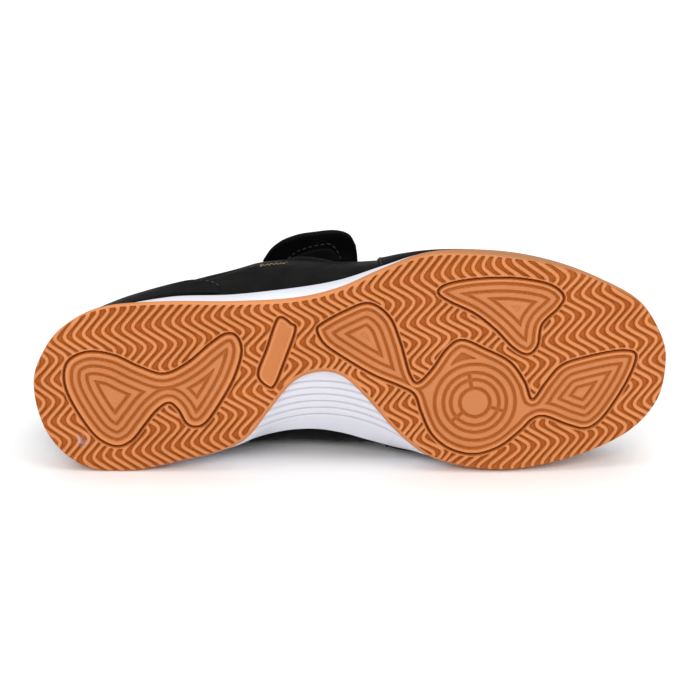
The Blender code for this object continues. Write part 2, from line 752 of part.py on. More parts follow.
def make_hook_patch(material):
    """Hook tape under the strap's free end. It uses the strap's own lines, so it follows its lower face."""
    bm = bmesh.new()
    grids = ([], [])
    reach = STRAP_FRONT - STRAP_BACK
    for station in HOOK_STATIONS:
        line = strap_line(along(STRAP_BACK + reach * STRAP_STATIONS[station]), STRAP_SHORT[station])
        tab = line[-TAB_STEPS:-1]
        ways = [b - a for a, b in zip(tab, line[1 - TAB_STEPS:])]
        normals = [Vector((0, way.z, -way.y)).normalized() for way in ways]
        grids[0].append([p - n * GAP for p, n in zip(tab, normals)])
        grids[1].append([p - n * (GAP + PATCH) for p, n in zip(tab, normals)])
    slab(bm, grids[0], grids[1])
    return finish(bm, "strap_hook_patch", material, 50)


# Build

def resting_turn(points):
    """The turn that lays the upright shoe on its inner side, with sole edge and upper both on the floor."""
    sole_end = bed(0.5 * LENGTH)
    turn = Matrix.Identity(3)
    for _ in range(SETTLE_ROUNDS):
        placed = points @ np.array(turn).T
        low = points[:, 2] < sole_end
        heel = placed[low & (points[:, 0] < 0.4 * LENGTH)]
        toe = placed[low & (points[:, 0] > 0.6 * LENGTH)]
        heel_foot = heel[np.argmax(heel[:, 1])]
        toe_foot = toe[np.argmax(toe[:, 1])]
        yaw = math.atan2(toe_foot[1] - heel_foot[1], toe_foot[0] - heel_foot[0])
        turn = Matrix.Rotation(-yaw, 3, "Z") @ turn
        placed = points @ np.array(turn).T
        floor = placed[low][:, 1].max()
        foot = placed[low][np.argmax(placed[low][:, 1])]
        high = placed[~low]
        angles = np.arctan2(high[:, 1] - floor, high[:, 2] - foot[2])
        turn = Matrix.Rotation(float(angles.max()), 3, "X") @ turn
    on_side = Matrix(((1, 0, 0), (0, 0, 1), (0, -1, 0)))
    return (on_side @ turn).to_4x4()


def lay_down(pieces):
    """Hang the pieces on one empty that lays the shoe on its side, its floor point at the origin."""
    points = np.concatenate([np.array([v.co for v in piece.data.vertices]) for piece in pieces])
    turn = resting_turn(points)
    placed = points @ np.array(turn.to_3x3()).T
    low, high = placed.min(axis=0), placed.max(axis=0)
    shift = Matrix.Translation((-(low[0] + high[0]) / 2, -(low[1] + high[1]) / 2, -low[2]))
    holder = bpy.data.objects.new("lying_shoe", None)
    bpy.context.scene.collection.objects.link(holder)
    holder.matrix_world = shift @ turn
    for piece in pieces:
        piece.parent = holder


def build_shoe():
    for thing in list(bpy.data.objects):
        bpy.data.objects.remove(thing, do_unlink=True)
    gum = make_material("gum", GUM_COLOUR, 0.55)
    white = make_material("white_foam", WHITE_COLOUR, 0.6)
    black = make_material("black_synthetic", BLACK_COLOUR, 0.42)
    lining = make_material("lining", LINING_COLOUR, 0.9)
    tape = make_material("hook_tape", TAPE_COLOUR, 0.95)
    pieces = [
        make_outsole(gum),
        make_midsole(white),
        make_upper(black),
        make_insole(lining),
        make_cover("heel_counter", COUNTER_PLACES, counter_height, black),
        make_cover("toe_guard", GUARD_PLACES, guard_height, black),
        make_tongue(lining),
        make_strap(black),
        make_hook_patch(tape),
        make_cover("quarter_loop_patch", PATCH_PLACES, patch_height, tape, PATCH_RISE[0], PATCH_RISES),
    ]
    lay_down(pieces)


build_shoe()
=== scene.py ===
# %% [markdown]
# An indoor soccer shoe for the right foot, shown by its gum sole. The shoe lies on its inner side, with the
# sole turned to the camera. The solids of the frame give every size and place, and this script makes the
# surfaces that a hand would feel: tread, foam, leather, lining, tape and thread.
#
# The drawing is made in the shoe's own directions and in millimetres: x from heel to toe, y to the inner
# side, z up from the ground when the shoe stands. One matrix then lays it down into the frame, in metres.

import json
import math

import bmesh
import bpy
import numpy as np
from mathutils import Matrix
from mathutils import Vector
from mathutils.geometry import delaunay_2d_cdt


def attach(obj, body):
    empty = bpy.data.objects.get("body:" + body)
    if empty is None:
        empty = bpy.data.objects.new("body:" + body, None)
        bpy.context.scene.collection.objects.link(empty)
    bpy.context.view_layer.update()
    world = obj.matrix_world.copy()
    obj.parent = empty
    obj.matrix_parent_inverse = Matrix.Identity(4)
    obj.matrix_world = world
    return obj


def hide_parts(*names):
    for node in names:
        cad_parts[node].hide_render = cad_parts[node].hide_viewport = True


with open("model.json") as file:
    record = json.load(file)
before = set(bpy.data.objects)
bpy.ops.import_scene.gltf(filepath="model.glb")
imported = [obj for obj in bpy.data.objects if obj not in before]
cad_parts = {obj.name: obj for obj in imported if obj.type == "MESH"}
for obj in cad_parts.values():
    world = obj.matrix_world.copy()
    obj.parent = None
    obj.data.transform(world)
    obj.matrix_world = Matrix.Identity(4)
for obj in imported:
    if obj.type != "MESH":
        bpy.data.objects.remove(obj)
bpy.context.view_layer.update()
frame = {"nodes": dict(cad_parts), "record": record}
print("frame nodes:", sorted(frame["nodes"]))

# %% [markdown]
# Two flat places of the sole are mounts in the record: one under the heel, one under the ball. Their two
# points and their shared direction fix the whole shoe in space, so nothing has to be fitted by eye. The
# two points are known in the drawing as well, and the matrix turns one set of directions into the other.

# %% Lay the drawing into the frame
HEEL_REST = Vector((30.0, 6.0, 0.0))
FOREFOOT_REST = Vector((117.5, -15.0, 0.0))
MM = 0.001


def directions(forward, up):
    """Three directions at right angles as the columns of a matrix."""
    forward = forward.normalized()
    side = up.cross(forward).normalized()
    return Matrix((forward, side, forward.cross(side))).transposed()


mounts = {mount["name"]: mount for mount in frame["record"]["mounts"]}
heel_spot = Vector(mounts["heel_rest"]["pos_m"])
fore_spot = Vector(mounts["forefoot_rest"]["pos_m"])
sole_up = -Vector(mounts["heel_rest"]["axis"])
laid_directions = directions(fore_spot - heel_spot, sole_up)
drawn_directions = directions(FOREFOOT_REST - HEEL_REST, Vector((0, 0, 1)))
turn = laid_directions @ drawn_directions.transposed()
LAY = Matrix.Translation(heel_spot) @ turn.to_4x4() @ Matrix.Scale(MM, 4) @ Matrix.Translation(-HEEL_REST)
LAY_TURN = np.array(LAY.to_3x3())
LAY_SHIFT = np.array(LAY.translation)


def laid(points):
    """Points of the drawing, in the frame's metres."""
    return np.asarray(points, float) @ LAY_TURN.T + LAY_SHIFT


print("the sole leans back by", round(math.degrees(math.asin(-sole_up.z)), 2), "degrees")

# %% [markdown]
# The shoe's form lives in a few tables: the sole's edge, the height of the bed and the upper's walls. They
# are the same sections that the solids were made from, so that each fine surface lies on its solid. A
# smooth curve through a table's rows is read anywhere between them. Each row of the sole gives a point of
# the tread's edge, the point of the rim above it and the gum's height there as a share of its full height.

# %% Tables of the sole
SOLE_ROWS = (
    (0.0, 5.0, 4.5, 5.0, 0.90), (4.6, -9.0, 9.0, -5.4, 0.90), (12.7, -18.4, 16.8, -13.0, 0.80),
    (26.0, -24.9, 29.0, -19.3, 0.58), (48.0, -26.6, 49.0, -24.0, 0.42), (72.0, -26.5, 72.0, -25.0, 0.42),
    (94.0, -27.6, 94.0, -27.5, 0.42), (110.0, -31.6, 110.0, -30.7, 0.42),
    (125.0, -38.6, 125.0, -36.0, 0.48), (140.0, -44.2, 140.0, -40.9, 0.72),
    (155.0, -45.0, 155.0, -42.4, 0.94), (172.0, -43.5, 171.5, -41.4, 1.00),
    (188.0, -39.6, 187.0, -37.4, 1.00), (203.6, -33.0, 201.6, -30.8, 0.98),
    (218.0, -24.0, 214.8, -22.0, 0.95), (226.2, -10.8, 222.0, -9.9, 0.91),
    (228.0, -0.5, 223.8, -0.5, 0.90), (225.5, 12.5, 221.6, 11.3, 0.91), (217.0, 22.7, 214.2, 20.6, 0.95),
    (204.0, 29.5, 202.2, 27.6, 1.00), (188.0, 34.2, 187.3, 32.8, 0.98), (171.0, 36.6, 171.0, 35.8, 0.96),
    (156.0, 35.4, 156.0, 36.0, 0.86), (143.0, 31.0, 143.0, 35.0, 0.56), (131.0, 21.5, 131.0, 33.0, 0.38),
    (120.0, 8.5, 120.0, 30.2, 0.36), (111.0, 0.0, 111.0, 27.8, 0.36), (102.0, -1.5, 102.0, 26.5, 0.36),
    (93.0, 2.5, 93.0, 26.8, 0.36), (84.5, 13.0, 84.5, 28.4, 0.36), (76.5, 23.5, 76.5, 30.8, 0.38),
    (67.0, 29.0, 67.0, 33.0, 0.46), (52.0, 33.3, 52.5, 33.6, 0.60), (34.0, 37.0, 35.0, 32.8, 0.75),
    (17.0, 35.0, 19.5, 29.2, 0.85), (4.5, 23.0, 8.8, 19.0, 0.90),
)
BED_ROWS = ((0, 1.06), (30, 1.05), (60, 1.0), (95, 1.0), (125, 0.9), (140, 0.83), (160, 0.78), (190, 0.73),
            (228, 0.69))
LENGTH = 228.0
TOE_SPRING, SPRING_START = 10.0, 0.70
HEEL_LIFT, HEEL_LIFT_END = 1.5, 0.055
PLATE, GUM_WALL, GUM_HEIGHT, GUM_BULGE, FLAT_BULGE = 3.5, 2.5, 10.0, 1.2, 0.4
GUM_LEAN = math.radians(22)
EDGE_ROUNDING = 1.2
GAP = 0.3
WEDGE_HEIGHT, WEDGE_BULGE, ARCH_CURVE = 17.0, 0.6, 1.25
ROUND = len(SOLE_ROWS)


def spline(knots, values, period=None):
    """Smooth curve through rows of values, closed when a period is given. It reads whole arrays at once."""
    knots = np.asarray(knots, float)
    values = np.asarray(values, float)
    if period:
        knots = np.concatenate([knots[-2:] - period, knots, knots[:3] + period])
        values = np.concatenate([values[-2:], values, values[:3]])
    slopes = np.gradient(values, knots, axis=0)

    def read(place):
        place = np.asarray(place, float)
        if period:
            place = place % period
        place = np.clip(place, knots[0], knots[-1])
        low = np.clip(np.searchsorted(knots, place, side="right") - 1, 0, len(knots) - 2)
        span = (knots[low + 1] - knots[low])[..., None]
        u = (place - knots[low])[..., None] / span
        start, end = values[low], values[low + 1]
        push, pull = slopes[low] * span, slopes[low + 1] * span
        return ((2 * u**3 - 3 * u**2 + 1) * start + (u**3 - 2 * u**2 + u) * push
                + (3 * u**2 - 2 * u**3) * end + (u**3 - u**2) * pull)

    return read


sole_at = spline(range(ROUND), np.array(SOLE_ROWS), ROUND)
bed_share = spline([row[0] for row in BED_ROWS], [[row[1]] for row in BED_ROWS])


def ground(x):
    toe = np.clip(x - SPRING_START * LENGTH, 0, None) / ((1 - SPRING_START) * LENGTH)
    heel = np.clip(HEEL_LIFT_END * LENGTH - x, 0, None) / (HEEL_LIFT_END * LENGTH)
    return TOE_SPRING * toe**2 + HEEL_LIFT * heel**2


def bed(x):
    return ground(x) + WEDGE_HEIGHT * bed_share(x)[..., 0]


def tread_point(t):
    return sole_at(t)[..., 0:2]


def rim_point(t):
    return sole_at(t)[..., 2:4]


def unit(ways):
    return ways / np.linalg.norm(ways, axis=-1, keepdims=True)


def outward(point, t):
    way = point(t + 0.02) - point(t - 0.02)
    return unit(np.stack([way[..., 1], -way[..., 0]], -1))


def gum_height(t):
    return np.maximum(sole_at(t)[..., 4] * GUM_HEIGHT, PLATE)


def gum_top_point(t):
    start = tread_point(t)
    run = rim_point(t) - start
    length = np.linalg.norm(run, axis=-1)
    height = gum_height(t)
    rise = bed(start[..., 0]) - ground(start[..., 0])
    reach = np.minimum(length * height / rise, height * math.tan(GUM_LEAN))
    return start + run / length[..., None] * reach[..., None]


def even_places(point, count):
    """Places round the sole that lie at even steps along its curve."""
    fine = np.linspace(0, ROUND, 20001)
    steps = np.linalg.norm(np.diff(point(fine), axis=0), axis=1)
    run = np.concatenate([[0], np.cumsum(steps)])
    return np.interp(np.arange(count) * run[-1] / count, run, fine)


print("sole edge at the ball:", np.round(tread_point(np.array([10.0, 21.0])), 1).tolist())

# %% [markdown]
# Most pieces are closed skins: a grid of points on the outside, a grid on the inside and a rim that joins
# them. A few small makers turn such grids into meshes. Points go through the laying matrix at the very
# end, so each finished object sits at the origin, unturned, with its place in its mesh.

# %% Makers of meshes
def strip_faces(rows, columns, first=0, closed=False, flip=False):
    """Quads of a grid stored row by row from index first. closed joins the last column to the first."""
    i = np.arange(rows - 1)[:, None]
    j = np.arange(columns if closed else columns - 1)[None, :]
    a = i * columns + j
    b = i * columns + (j + 1) % columns
    quads = np.stack([a, b, b + columns, a + columns], -1).reshape(-1, 4) + first
    return quads[:, ::-1] if flip else quads


def ring_faces(rows, columns):
    """Quads of closed rings, where the last ring is joined to the first as well."""
    last = (rows - 1) * columns
    i = np.arange(columns)
    j = (i + 1) % columns
    closing = np.stack([last + i, last + j, j, i], -1)
    return np.concatenate([strip_faces(rows, columns, closed=True), closing])


def cap_faces(points, first, count):
    """Triangles that close one ring of points, as seen from above."""
    flat = [Vector(p) for p in points[first:first + count, :2]]
    loop = [(i, (i + 1) % count) for i in range(count)]
    _, _, caps, origins, _, _ = delaunay_2d_cdt(flat, loop, [], 1, 1e-6)
    return [[first + origins[i][0] for i in face] for face in caps]


def new_piece(name, points, faces, material, sharp=40, attributes=None):
    """An object from points of the drawing. Its normals are made to face out."""
    mesh = bpy.data.meshes.new(name)
    mesh.from_pydata(laid(points).tolist(), [], [list(map(int, face)) for face in faces])
    for label, values in (attributes or {}).items():
        layer = mesh.attributes.new(label, "FLOAT", "POINT")
        layer.data.foreach_set("value", np.asarray(values, np.float32))
    mesh.validate()
    bm = bmesh.new()
    bm.from_mesh(mesh)
    bmesh.ops.recalc_face_normals(bm, faces=bm.faces)
    if bm.calc_volume(signed=True) < 0:
        bmesh.ops.reverse_faces(bm, faces=bm.faces)
    bm.to_mesh(mesh)
    bm.free()
    mesh.shade_smooth()
    mesh.set_sharp_from_angle(angle=math.radians(sharp))
    mesh.materials.append(material)
    piece = bpy.data.objects.new(name, mesh)
    bpy.context.scene.collection.objects.link(piece)
    return piece


def slab_piece(name, outer, inner, material, sharp=40):
    """A closed sheet between an outer and an inner grid of one size."""
    rows, columns = outer.shape[:2]
    count = rows * columns
    grid = np.arange(count).reshape(rows, columns)
    edge = np.concatenate([grid[0, :-1], grid[:-1, -1], grid[-1, :0:-1], grid[:0:-1, 0]])
    after = np.roll(edge, -1)
    rim = np.stack([edge, after, after + count, edge + count], -1)
    faces = np.concatenate([strip_faces(rows, columns), strip_faces(rows, columns, count, flip=True), rim])
    points = np.concatenate([outer.reshape(-1, 3), inner.reshape(-1, 3)])
    return new_piece(name, points, faces, material, sharp)


def triangles_of(piece):
    return sum(len(face.vertices) - 2 for face in piece.data.polygons)


# %% [markdown]
# Materials first. Each is a small node tree on the Principled shader. Patterns read Object coordinates,
# which are metres here, or an attribute that a piece brings along, such as how deep a point of the tread
# lies. Gloss comes from roughness and coat, and fine relief from bump.

# %% Helpers for materials
def new_material(name, colour, roughness, **inputs):
    material = bpy.data.materials.new(name)
    material.use_nodes = True
    shader = material.node_tree.nodes["Principled BSDF"]
    shader.inputs["Base Color"].default_value = (*colour, 1)
    shader.inputs["Roughness"].default_value = roughness
    for label, value in inputs.items():
        shader.inputs[label.replace("_", " ")].default_value = value
    return material, material.node_tree, shader


def add_node(tree, kind, **values):
    """A node with its inputs set by name. Values that are sockets are linked."""
    node = tree.nodes.new(kind)
    for label, value in values.items():
        label = label.replace("_", " ")
        if isinstance(value, bpy.types.NodeSocket):
            tree.links.new(value, node.inputs[label])
        else:
            node.inputs[label].default_value = value
    return node


def object_places(tree):
    return tree.nodes.new("ShaderNodeTexCoord").outputs["Object"]


def noise(tree, scale, detail=3.0, vector=None):
    vector = vector or object_places(tree)
    return add_node(tree, "ShaderNodeTexNoise", Vector=vector, Scale=scale, Detail=detail).outputs["Fac"]


def cells(tree, scale, feature="F1"):
    node = add_node(tree, "ShaderNodeTexVoronoi", Vector=object_places(tree), Scale=scale)
    node.feature = feature
    return node.outputs["Distance"]


def carried(tree, name):
    """A value that the piece itself brings along, such as how deep a point lies."""
    node = tree.nodes.new("ShaderNodeAttribute")
    node.attribute_name = name
    return node.outputs["Fac"]


def grey(value):
    return (value,) * 3


def ramp(tree, value, stops):
    node = tree.nodes.new("ShaderNodeValToRGB")
    tree.links.new(value, node.inputs["Fac"])
    ends = node.color_ramp.elements
    while len(ends) < len(stops):
        ends.new(0.5)
    for end, (place, colour) in zip(ends, stops):
        end.position = place
        end.color = (*colour, 1)
    return node.outputs["Color"]


def math_node(tree, operation, first, second):
    node = tree.nodes.new("ShaderNodeMath")
    node.operation = operation
    for socket, value in zip(node.inputs, (first, second)):
        if isinstance(value, bpy.types.NodeSocket):
            tree.links.new(value, socket)
        else:
            socket.default_value = value
    return node.outputs[0]


def mix_colours(tree, share, first, second, blend="MIX"):
    node = tree.nodes.new("ShaderNodeMix")
    node.data_type = "RGBA"
    node.blend_type = blend
    for socket, value in zip((node.inputs[0], node.inputs[6], node.inputs[7]), (share, first, second)):
        if isinstance(value, bpy.types.NodeSocket):
            tree.links.new(value, socket)
        elif isinstance(value, tuple):
            socket.default_value = (*value, 1)
        else:
            socket.default_value = value
    return node.outputs[2]


def bump(tree, shader, height, strength, distance, under=None):
    node = add_node(tree, "ShaderNodeBump", Strength=strength, Distance=distance, Height=height)
    if under:
        tree.links.new(under, node.inputs["Normal"])
    tree.links.new(node.outputs["Normal"], shader.inputs["Normal"])
    return node.outputs["Normal"]


# %% [markdown]
# Gum rubber is a warm, matt orange that lets a little light in. One colour would look like plastic, so the
# tone follows how deep a point lies: pale on the ribs, partly from wear, and dark in the grooves, which is
# painted shade. The mesh carries that depth as an attribute. The outer forefoot wall gets a darker tone,
# which is painted shade too. The scuff near the heel is a patch of noise round one point.

# %% Gum rubber
# Tones by depth: the pale rib tone is partly wear, and the darker slope, channel, deep and groove tones are
# painted shade in the hollows.
RIB_TONE = (0.64, 0.247, 0.087)
ISLAND_TONE = (0.54, 0.200, 0.072)
SLOPE_SHADE_TONE = (0.53, 0.172, 0.047)
CHANNEL_SHADE_TONE = (0.395, 0.106, 0.0155)
DEEP_SHADE_TONE = (0.445, 0.112, 0.0125)
GROOVE_SHADE_TONE = (0.19, 0.028, 0.003)
# Painted shade for the outer forefoot wall.
FLANK_SHADE_TONE = (0.36, 0.160, 0.066)
WEAR_AND_SHADE_STOPS = ((0.0, RIB_TONE), (0.08, ISLAND_TONE), (0.30, SLOPE_SHADE_TONE), (0.57, CHANNEL_SHADE_TONE),
              (0.80, DEEP_SHADE_TONE), (1.0, GROOVE_SHADE_TONE))
CLOUD_TONE, CLOUD_SCALE = (0.93, 0.90, 0.86), 45.0
WEAR_GLOSS, WEAR_DULL, WEAR_SCALE = 0.42, 0.62, 160.0
PORE_SCALE = 2200.0
SCUFF_SPOT, SCUFF_REACH, SCUFF_SCALE = (17.0, 25.0, 0.5), 3.2, 900.0
SCUFF_TONE = (0.42, 0.40, 0.46)


def make_gum():
    """Moulded gum rubber: a soft matt skin, a little light in the body, with painted shade where the tread
    lies deep.
    """
    material, tree, shader = new_material("gum_rubber", RIB_TONE, 0.5, Subsurface_Weight=0.08,
                                          Subsurface_Scale=0.002, IOR=1.5, Specular_IOR_Level=0.18)
    shader.inputs["Subsurface Radius"].default_value = (1.0, 0.45, 0.2)
    # The depth ramp paints shade into slopes, channels and grooves, and the mix paints shade on the outer
    # forefoot wall.
    tone = mix_colours(tree, carried(tree, "painted_flank_shade"), ramp(tree, carried(tree, "low"), WEAR_AND_SHADE_STOPS), FLANK_SHADE_TONE)
    cloud = ramp(tree, noise(tree, CLOUD_SCALE, 4.0), ((0.3, CLOUD_TONE), (0.7, grey(1.0))))
    tone = mix_colours(tree, 1.0, tone, cloud, "MULTIPLY")
    gap = tree.nodes.new("ShaderNodeVectorMath")
    gap.operation = "DISTANCE"
    tree.links.new(object_places(tree), gap.inputs[0])
    gap.inputs[1].default_value = LAY @ Vector(SCUFF_SPOT)
    near = math_node(tree, "SUBTRACT", 1.0, math_node(tree, "DIVIDE", gap.outputs["Value"], SCUFF_REACH * MM))
    patchy = math_node(tree, "GREATER_THAN", noise(tree, SCUFF_SCALE, 4.0), 0.5)
    scuff = math_node(tree, "MULTIPLY", math_node(tree, "MAXIMUM", near, 0.0), patchy)
    tree.links.new(mix_colours(tree, scuff, tone, SCUFF_TONE), shader.inputs["Base Color"])
    wear = ramp(tree, noise(tree, WEAR_SCALE, 5.0), ((0.35, grey(WEAR_GLOSS)), (0.7, grey(WEAR_DULL))))
    tree.links.new(wear, shader.inputs["Roughness"])
    bump(tree, shader, noise(tree, PORE_SCALE, 2.0), 0.12, 0.00008)
    return material


gum = make_gum()

# %% [markdown]
# The wedge is moulded foam with a closed skin. It is a cool white that is never quite even, so a large,
# faint noise moves its tone, and fine bump keeps its shine soft. The arch grooves are darkened in its
# colour, which is painted shade.

# %% White foam
FOAM_TONE, FOAM_SHADE, FOAM_LIGHT = (0.70, 0.72, 0.79), (0.67, 0.685, 0.76), (0.725, 0.74, 0.81)
FOAM_GROOVE_SHADE = (0.50, 0.505, 0.56)
FOAM_CLOUD_SCALE, DIMPLE_SCALE = 60.0, 1500.0


def make_foam():
    """Moulded foam with a closed skin: cool white, satin, faint clouds, tiny dimples, painted shade in the
    arch grooves.
    """
    material, tree, shader = new_material("white_foam", FOAM_TONE, 0.48, Subsurface_Weight=0.06,
                                          Subsurface_Scale=0.002, Specular_IOR_Level=0.3)
    tone = ramp(tree, noise(tree, FOAM_CLOUD_SCALE, 4.0), ((0.3, FOAM_SHADE), (0.7, FOAM_LIGHT)))
    # The grooves' share darkens the tone: painted shade.
    tone = mix_colours(tree, carried(tree, "cut"), tone, FOAM_GROOVE_SHADE)
    tree.links.new(tone, shader.inputs["Base Color"])
    bump(tree, shader, noise(tree, DIMPLE_SCALE, 2.0), 0.08, 0.00008)
    return material


foam = make_foam()

# %% [markdown]
# Coated leather is black, but its grain catches the light. A fine cell pattern gives the pebbles, and a
# slower noise paints patches of a lighter olive tone, which is painted sheen. A picture of leather could be
# used, but noise has no seams close up.

# %% Black synthetic leather
PATCH_SCALE, SHINE_SCALE, FINE_SCALE = 90.0, 220.0, 700.0
SHINE_UNDER, SHINE_OVER = 0.06, 0.1


def make_leather(name, tone, sheen_tone, roughness, grain):
    """Coated synthetic leather: fine pebble grain and a dull olive shine, partly painted into its colour as
    sheen.
    """
    material, tree, shader = new_material(name, tone, roughness, Specular_IOR_Level=0.03)
    # Patches of the lighter olive tone are painted sheen.
    cloud = ramp(tree, noise(tree, PATCH_SCALE, 4.0), ((0.35, tone), (0.75, sheen_tone)))
    tree.links.new(cloud, shader.inputs["Base Color"])
    pebbles = cells(tree, grain, "SMOOTH_F1")
    stops = ((0.3, grey(roughness - SHINE_UNDER)), (0.7, grey(roughness + SHINE_OVER)))
    tree.links.new(ramp(tree, noise(tree, SHINE_SCALE, 4.0), stops), shader.inputs["Roughness"])
    first = bump(tree, shader, pebbles, 0.35, 0.00012)
    bump(tree, shader, noise(tree, FINE_SCALE, 5.0), 0.25, 0.0001, first)
    return material


leather = make_leather("black_leather", (0.0034, 0.0035, 0.0036), (0.0078, 0.0078, 0.0070), 0.40, 1400.0)
panel_leather = make_leather("black_panel_leather", (0.0045, 0.0046, 0.0047), (0.0095, 0.0095, 0.0090), 0.44,
                             900.0)

# %% [markdown]
# The cloths are dark too, and only their weave tells them apart: two crossed waves stand for a knit's
# loops, and a fine noise for a pile of short fibres. A little sheen lights both at a grazing angle.

# %% Fabrics, tape and thread
FIBRE_SCALE = 2500.0


def make_fabric(name, tone, light_tone, pitch):
    """Knitted cloth: loops in crossed rows, dull, with a soft nap at grazing light."""
    material, tree, shader = new_material(name, tone, 0.9, Sheen_Weight=0.04, Sheen_Roughness=0.5,
                                          Specular_IOR_Level=0.05)
    places = object_places(tree)
    waves = []
    for direction in ("X", "Z"):
        node = add_node(tree, "ShaderNodeTexWave", Vector=places, Scale=1.0 / pitch, Distortion=0.6)
        node.bands_direction = direction
        waves.append(node.outputs["Fac"])
    weave = math_node(tree, "MULTIPLY", waves[0], waves[1])
    tree.links.new(ramp(tree, weave, ((0.0, tone), (1.0, light_tone))), shader.inputs["Base Color"])
    bump(tree, shader, weave, 0.6, 0.0003)
    return material


lining = make_fabric("black_knit_lining", (0.006, 0.006, 0.0065), (0.020, 0.020, 0.021), 0.010)
tongue_cloth = make_fabric("black_tongue_mesh", (0.006, 0.006, 0.0065), (0.024, 0.024, 0.025), 0.014)


def make_nap(name, tone, light_tone):
    """Hook and loop tape: a dense, dull pile of short fibres."""
    material, tree, shader = new_material(name, tone, 0.95, Sheen_Weight=0.03, Sheen_Roughness=0.6,
                                          Specular_IOR_Level=0.05)
    fibres = noise(tree, FIBRE_SCALE, 3.0)
    tree.links.new(ramp(tree, fibres, ((0.3, tone), (0.75, light_tone))), shader.inputs["Base Color"])
    bump(tree, shader, fibres, 0.8, 0.0004)
    return material


tape = make_nap("black_hook_tape", (0.0035, 0.0035, 0.004), (0.0075, 0.0075, 0.0085))
thread, _, _ = new_material("black_thread", (0.030, 0.032, 0.034), 0.65)
yellow_thread, _, _ = new_material("dry_yellow_thread_ends", (0.42, 0.34, 0.12), 0.55)
print("materials:", len(bpy.data.materials))

# %% [markdown]
# The tread is the face of this shoe. In the mould it was cut as raised islands, each with a deep outline
# and inner grooves that follow the outline at even steps, in a field of zigzag ribs. One function says how
# deep any point lies, so the whole pattern is a map from place to depth. The islands come from distances
# to a closed curve, the rings from distances to one point, and the ribs from a wave whose zigzag rows
# follow the sole's swing.

# %% Islands of the tread
HEEL_BOW = (
    (11.2, 0.5), (12.6, 8.0), (18.0, 18.3), (23.2, 24.7), (29.5, 27.5), (35.0, 25.2), (39.5, 19.6),
    (43.9, 14.0), (48.5, 10.8), (51.9, 13.4), (54.6, 18.4), (58.0, 20.0), (61.9, 18.3), (67.1, 10.8),
    (72.1, 1.5), (75.0, -8.3), (73.4, -14.2), (69.4, -15.2), (63.5, -11.2), (55.5, -4.2), (47.0, -0.2),
    (38.5, -2.8), (29.4, -7.2), (20.3, -8.5), (13.3, -5.4),
)
PIVOT_CHAIN = (
    (102.0, -16.5), (104.6, -11.4), (111.0, -6.6), (122.0, 0.2), (132.0, 4.6), (137.0, 7.8), (139.4, 14.5),
    (143.2, 22.8), (149.8, 28.4), (158.7, 30.5), (167.8, 27.6), (175.0, 21.8), (179.6, 17.2), (184.2, 16.4),
    (192.5, 20.0), (199.2, 21.7), (204.8, 18.3), (211.2, 9.2), (215.7, 0.2), (216.4, -5.7), (209.8, -7.1),
    (198.1, -5.4), (189.6, -2.7), (184.1, 3.5), (179.3, 9.9), (176.4, 3.0), (171.0, -4.5), (162.0, -9.5),
    (153.8, -12.9), (148.5, -9.7), (143.0, -1.6), (138.0, 3.3), (135.0, -0.4), (131.6, -12.4), (127.7, -21.6),
    (120.5, -26.6), (112.0, -23.7), (103.8, -19.0),
)
OUTER_FIN = (
    (145.0, -30.6), (149.0, -27.3), (158.0, -22.8), (165.5, -16.8), (172.2, -9.8), (177.3, -7.3),
    (180.8, -10.5), (182.2, -18.3), (188.0, -24.4), (189.7, -28.8), (184.2, -33.3), (172.0, -35.8),
    (158.7, -35.6), (148.2, -33.6),
)
BARE_PLATE = (
    (80.8, 0.2), (84.6, 4.9), (87.0, 3.6), (90.3, -4.9), (94.3, -16.6), (92.6, -19.1), (89.3, -21.4),
    (87.3, -19.4), (84.0, -9.4),
)
PIVOT_CENTRE = (158.6, 10.7)
PIVOT_RINGS = (5.4, 8.65, 11.35, 14.5)
PIVOT_REACH = 16.3
PIVOT_SPOKES = (18.0, 139.0, -102.0)
CURVE_STEPS = 8
CHUNK = 12000


def closed_curve(points):
    read = spline(range(len(points)), np.array(points, float), len(points))
    return read(np.arange(len(points) * CURVE_STEPS) / CURVE_STEPS)


def distance_inside(places, curve):
    """Distance of places from a closed curve, positive inside it. Worked out in chunks to spare memory."""
    a, b = curve, np.roll(curve, -1, axis=0)
    way = b - a
    length = (way**2).sum(1)
    result = np.empty(len(places))
    for first in range(0, len(places), CHUNK):
        p = places[first:first + CHUNK, None, :]
        share = np.clip(((p - a) * way).sum(-1) / length, 0, 1)
        gap = np.sqrt(((a + share[..., None] * way - p)**2).sum(-1).min(1))
        above = (a[:, 1] > p[..., 1]) != (b[:, 1] > p[..., 1])
        cross = a[:, 0] + (p[..., 1] - a[:, 1]) * way[:, 0] / np.where(way[:, 1] == 0, 1e-9, way[:, 1])
        odd = (above & (p[..., 0] < cross)).sum(1) % 2 == 1
        result[first:first + CHUNK] = np.where(odd, gap, -gap)
    return result


ISLANDS = [closed_curve(points) for points in (HEEL_BOW, PIVOT_CHAIN, OUTER_FIN, BARE_PLATE)]
print("island outlines:", [len(curve) for curve in ISLANDS], "points")

# %% [markdown]
# The ribs zigzag in rows that swing with the sole, so no straight repeat fits them. A table says where the
# rows lie along the shoe and how wide they are, and one function counts the ribs at any point: a whole
# number lies on a rib's middle line. The count's slope turns it into millimetres.

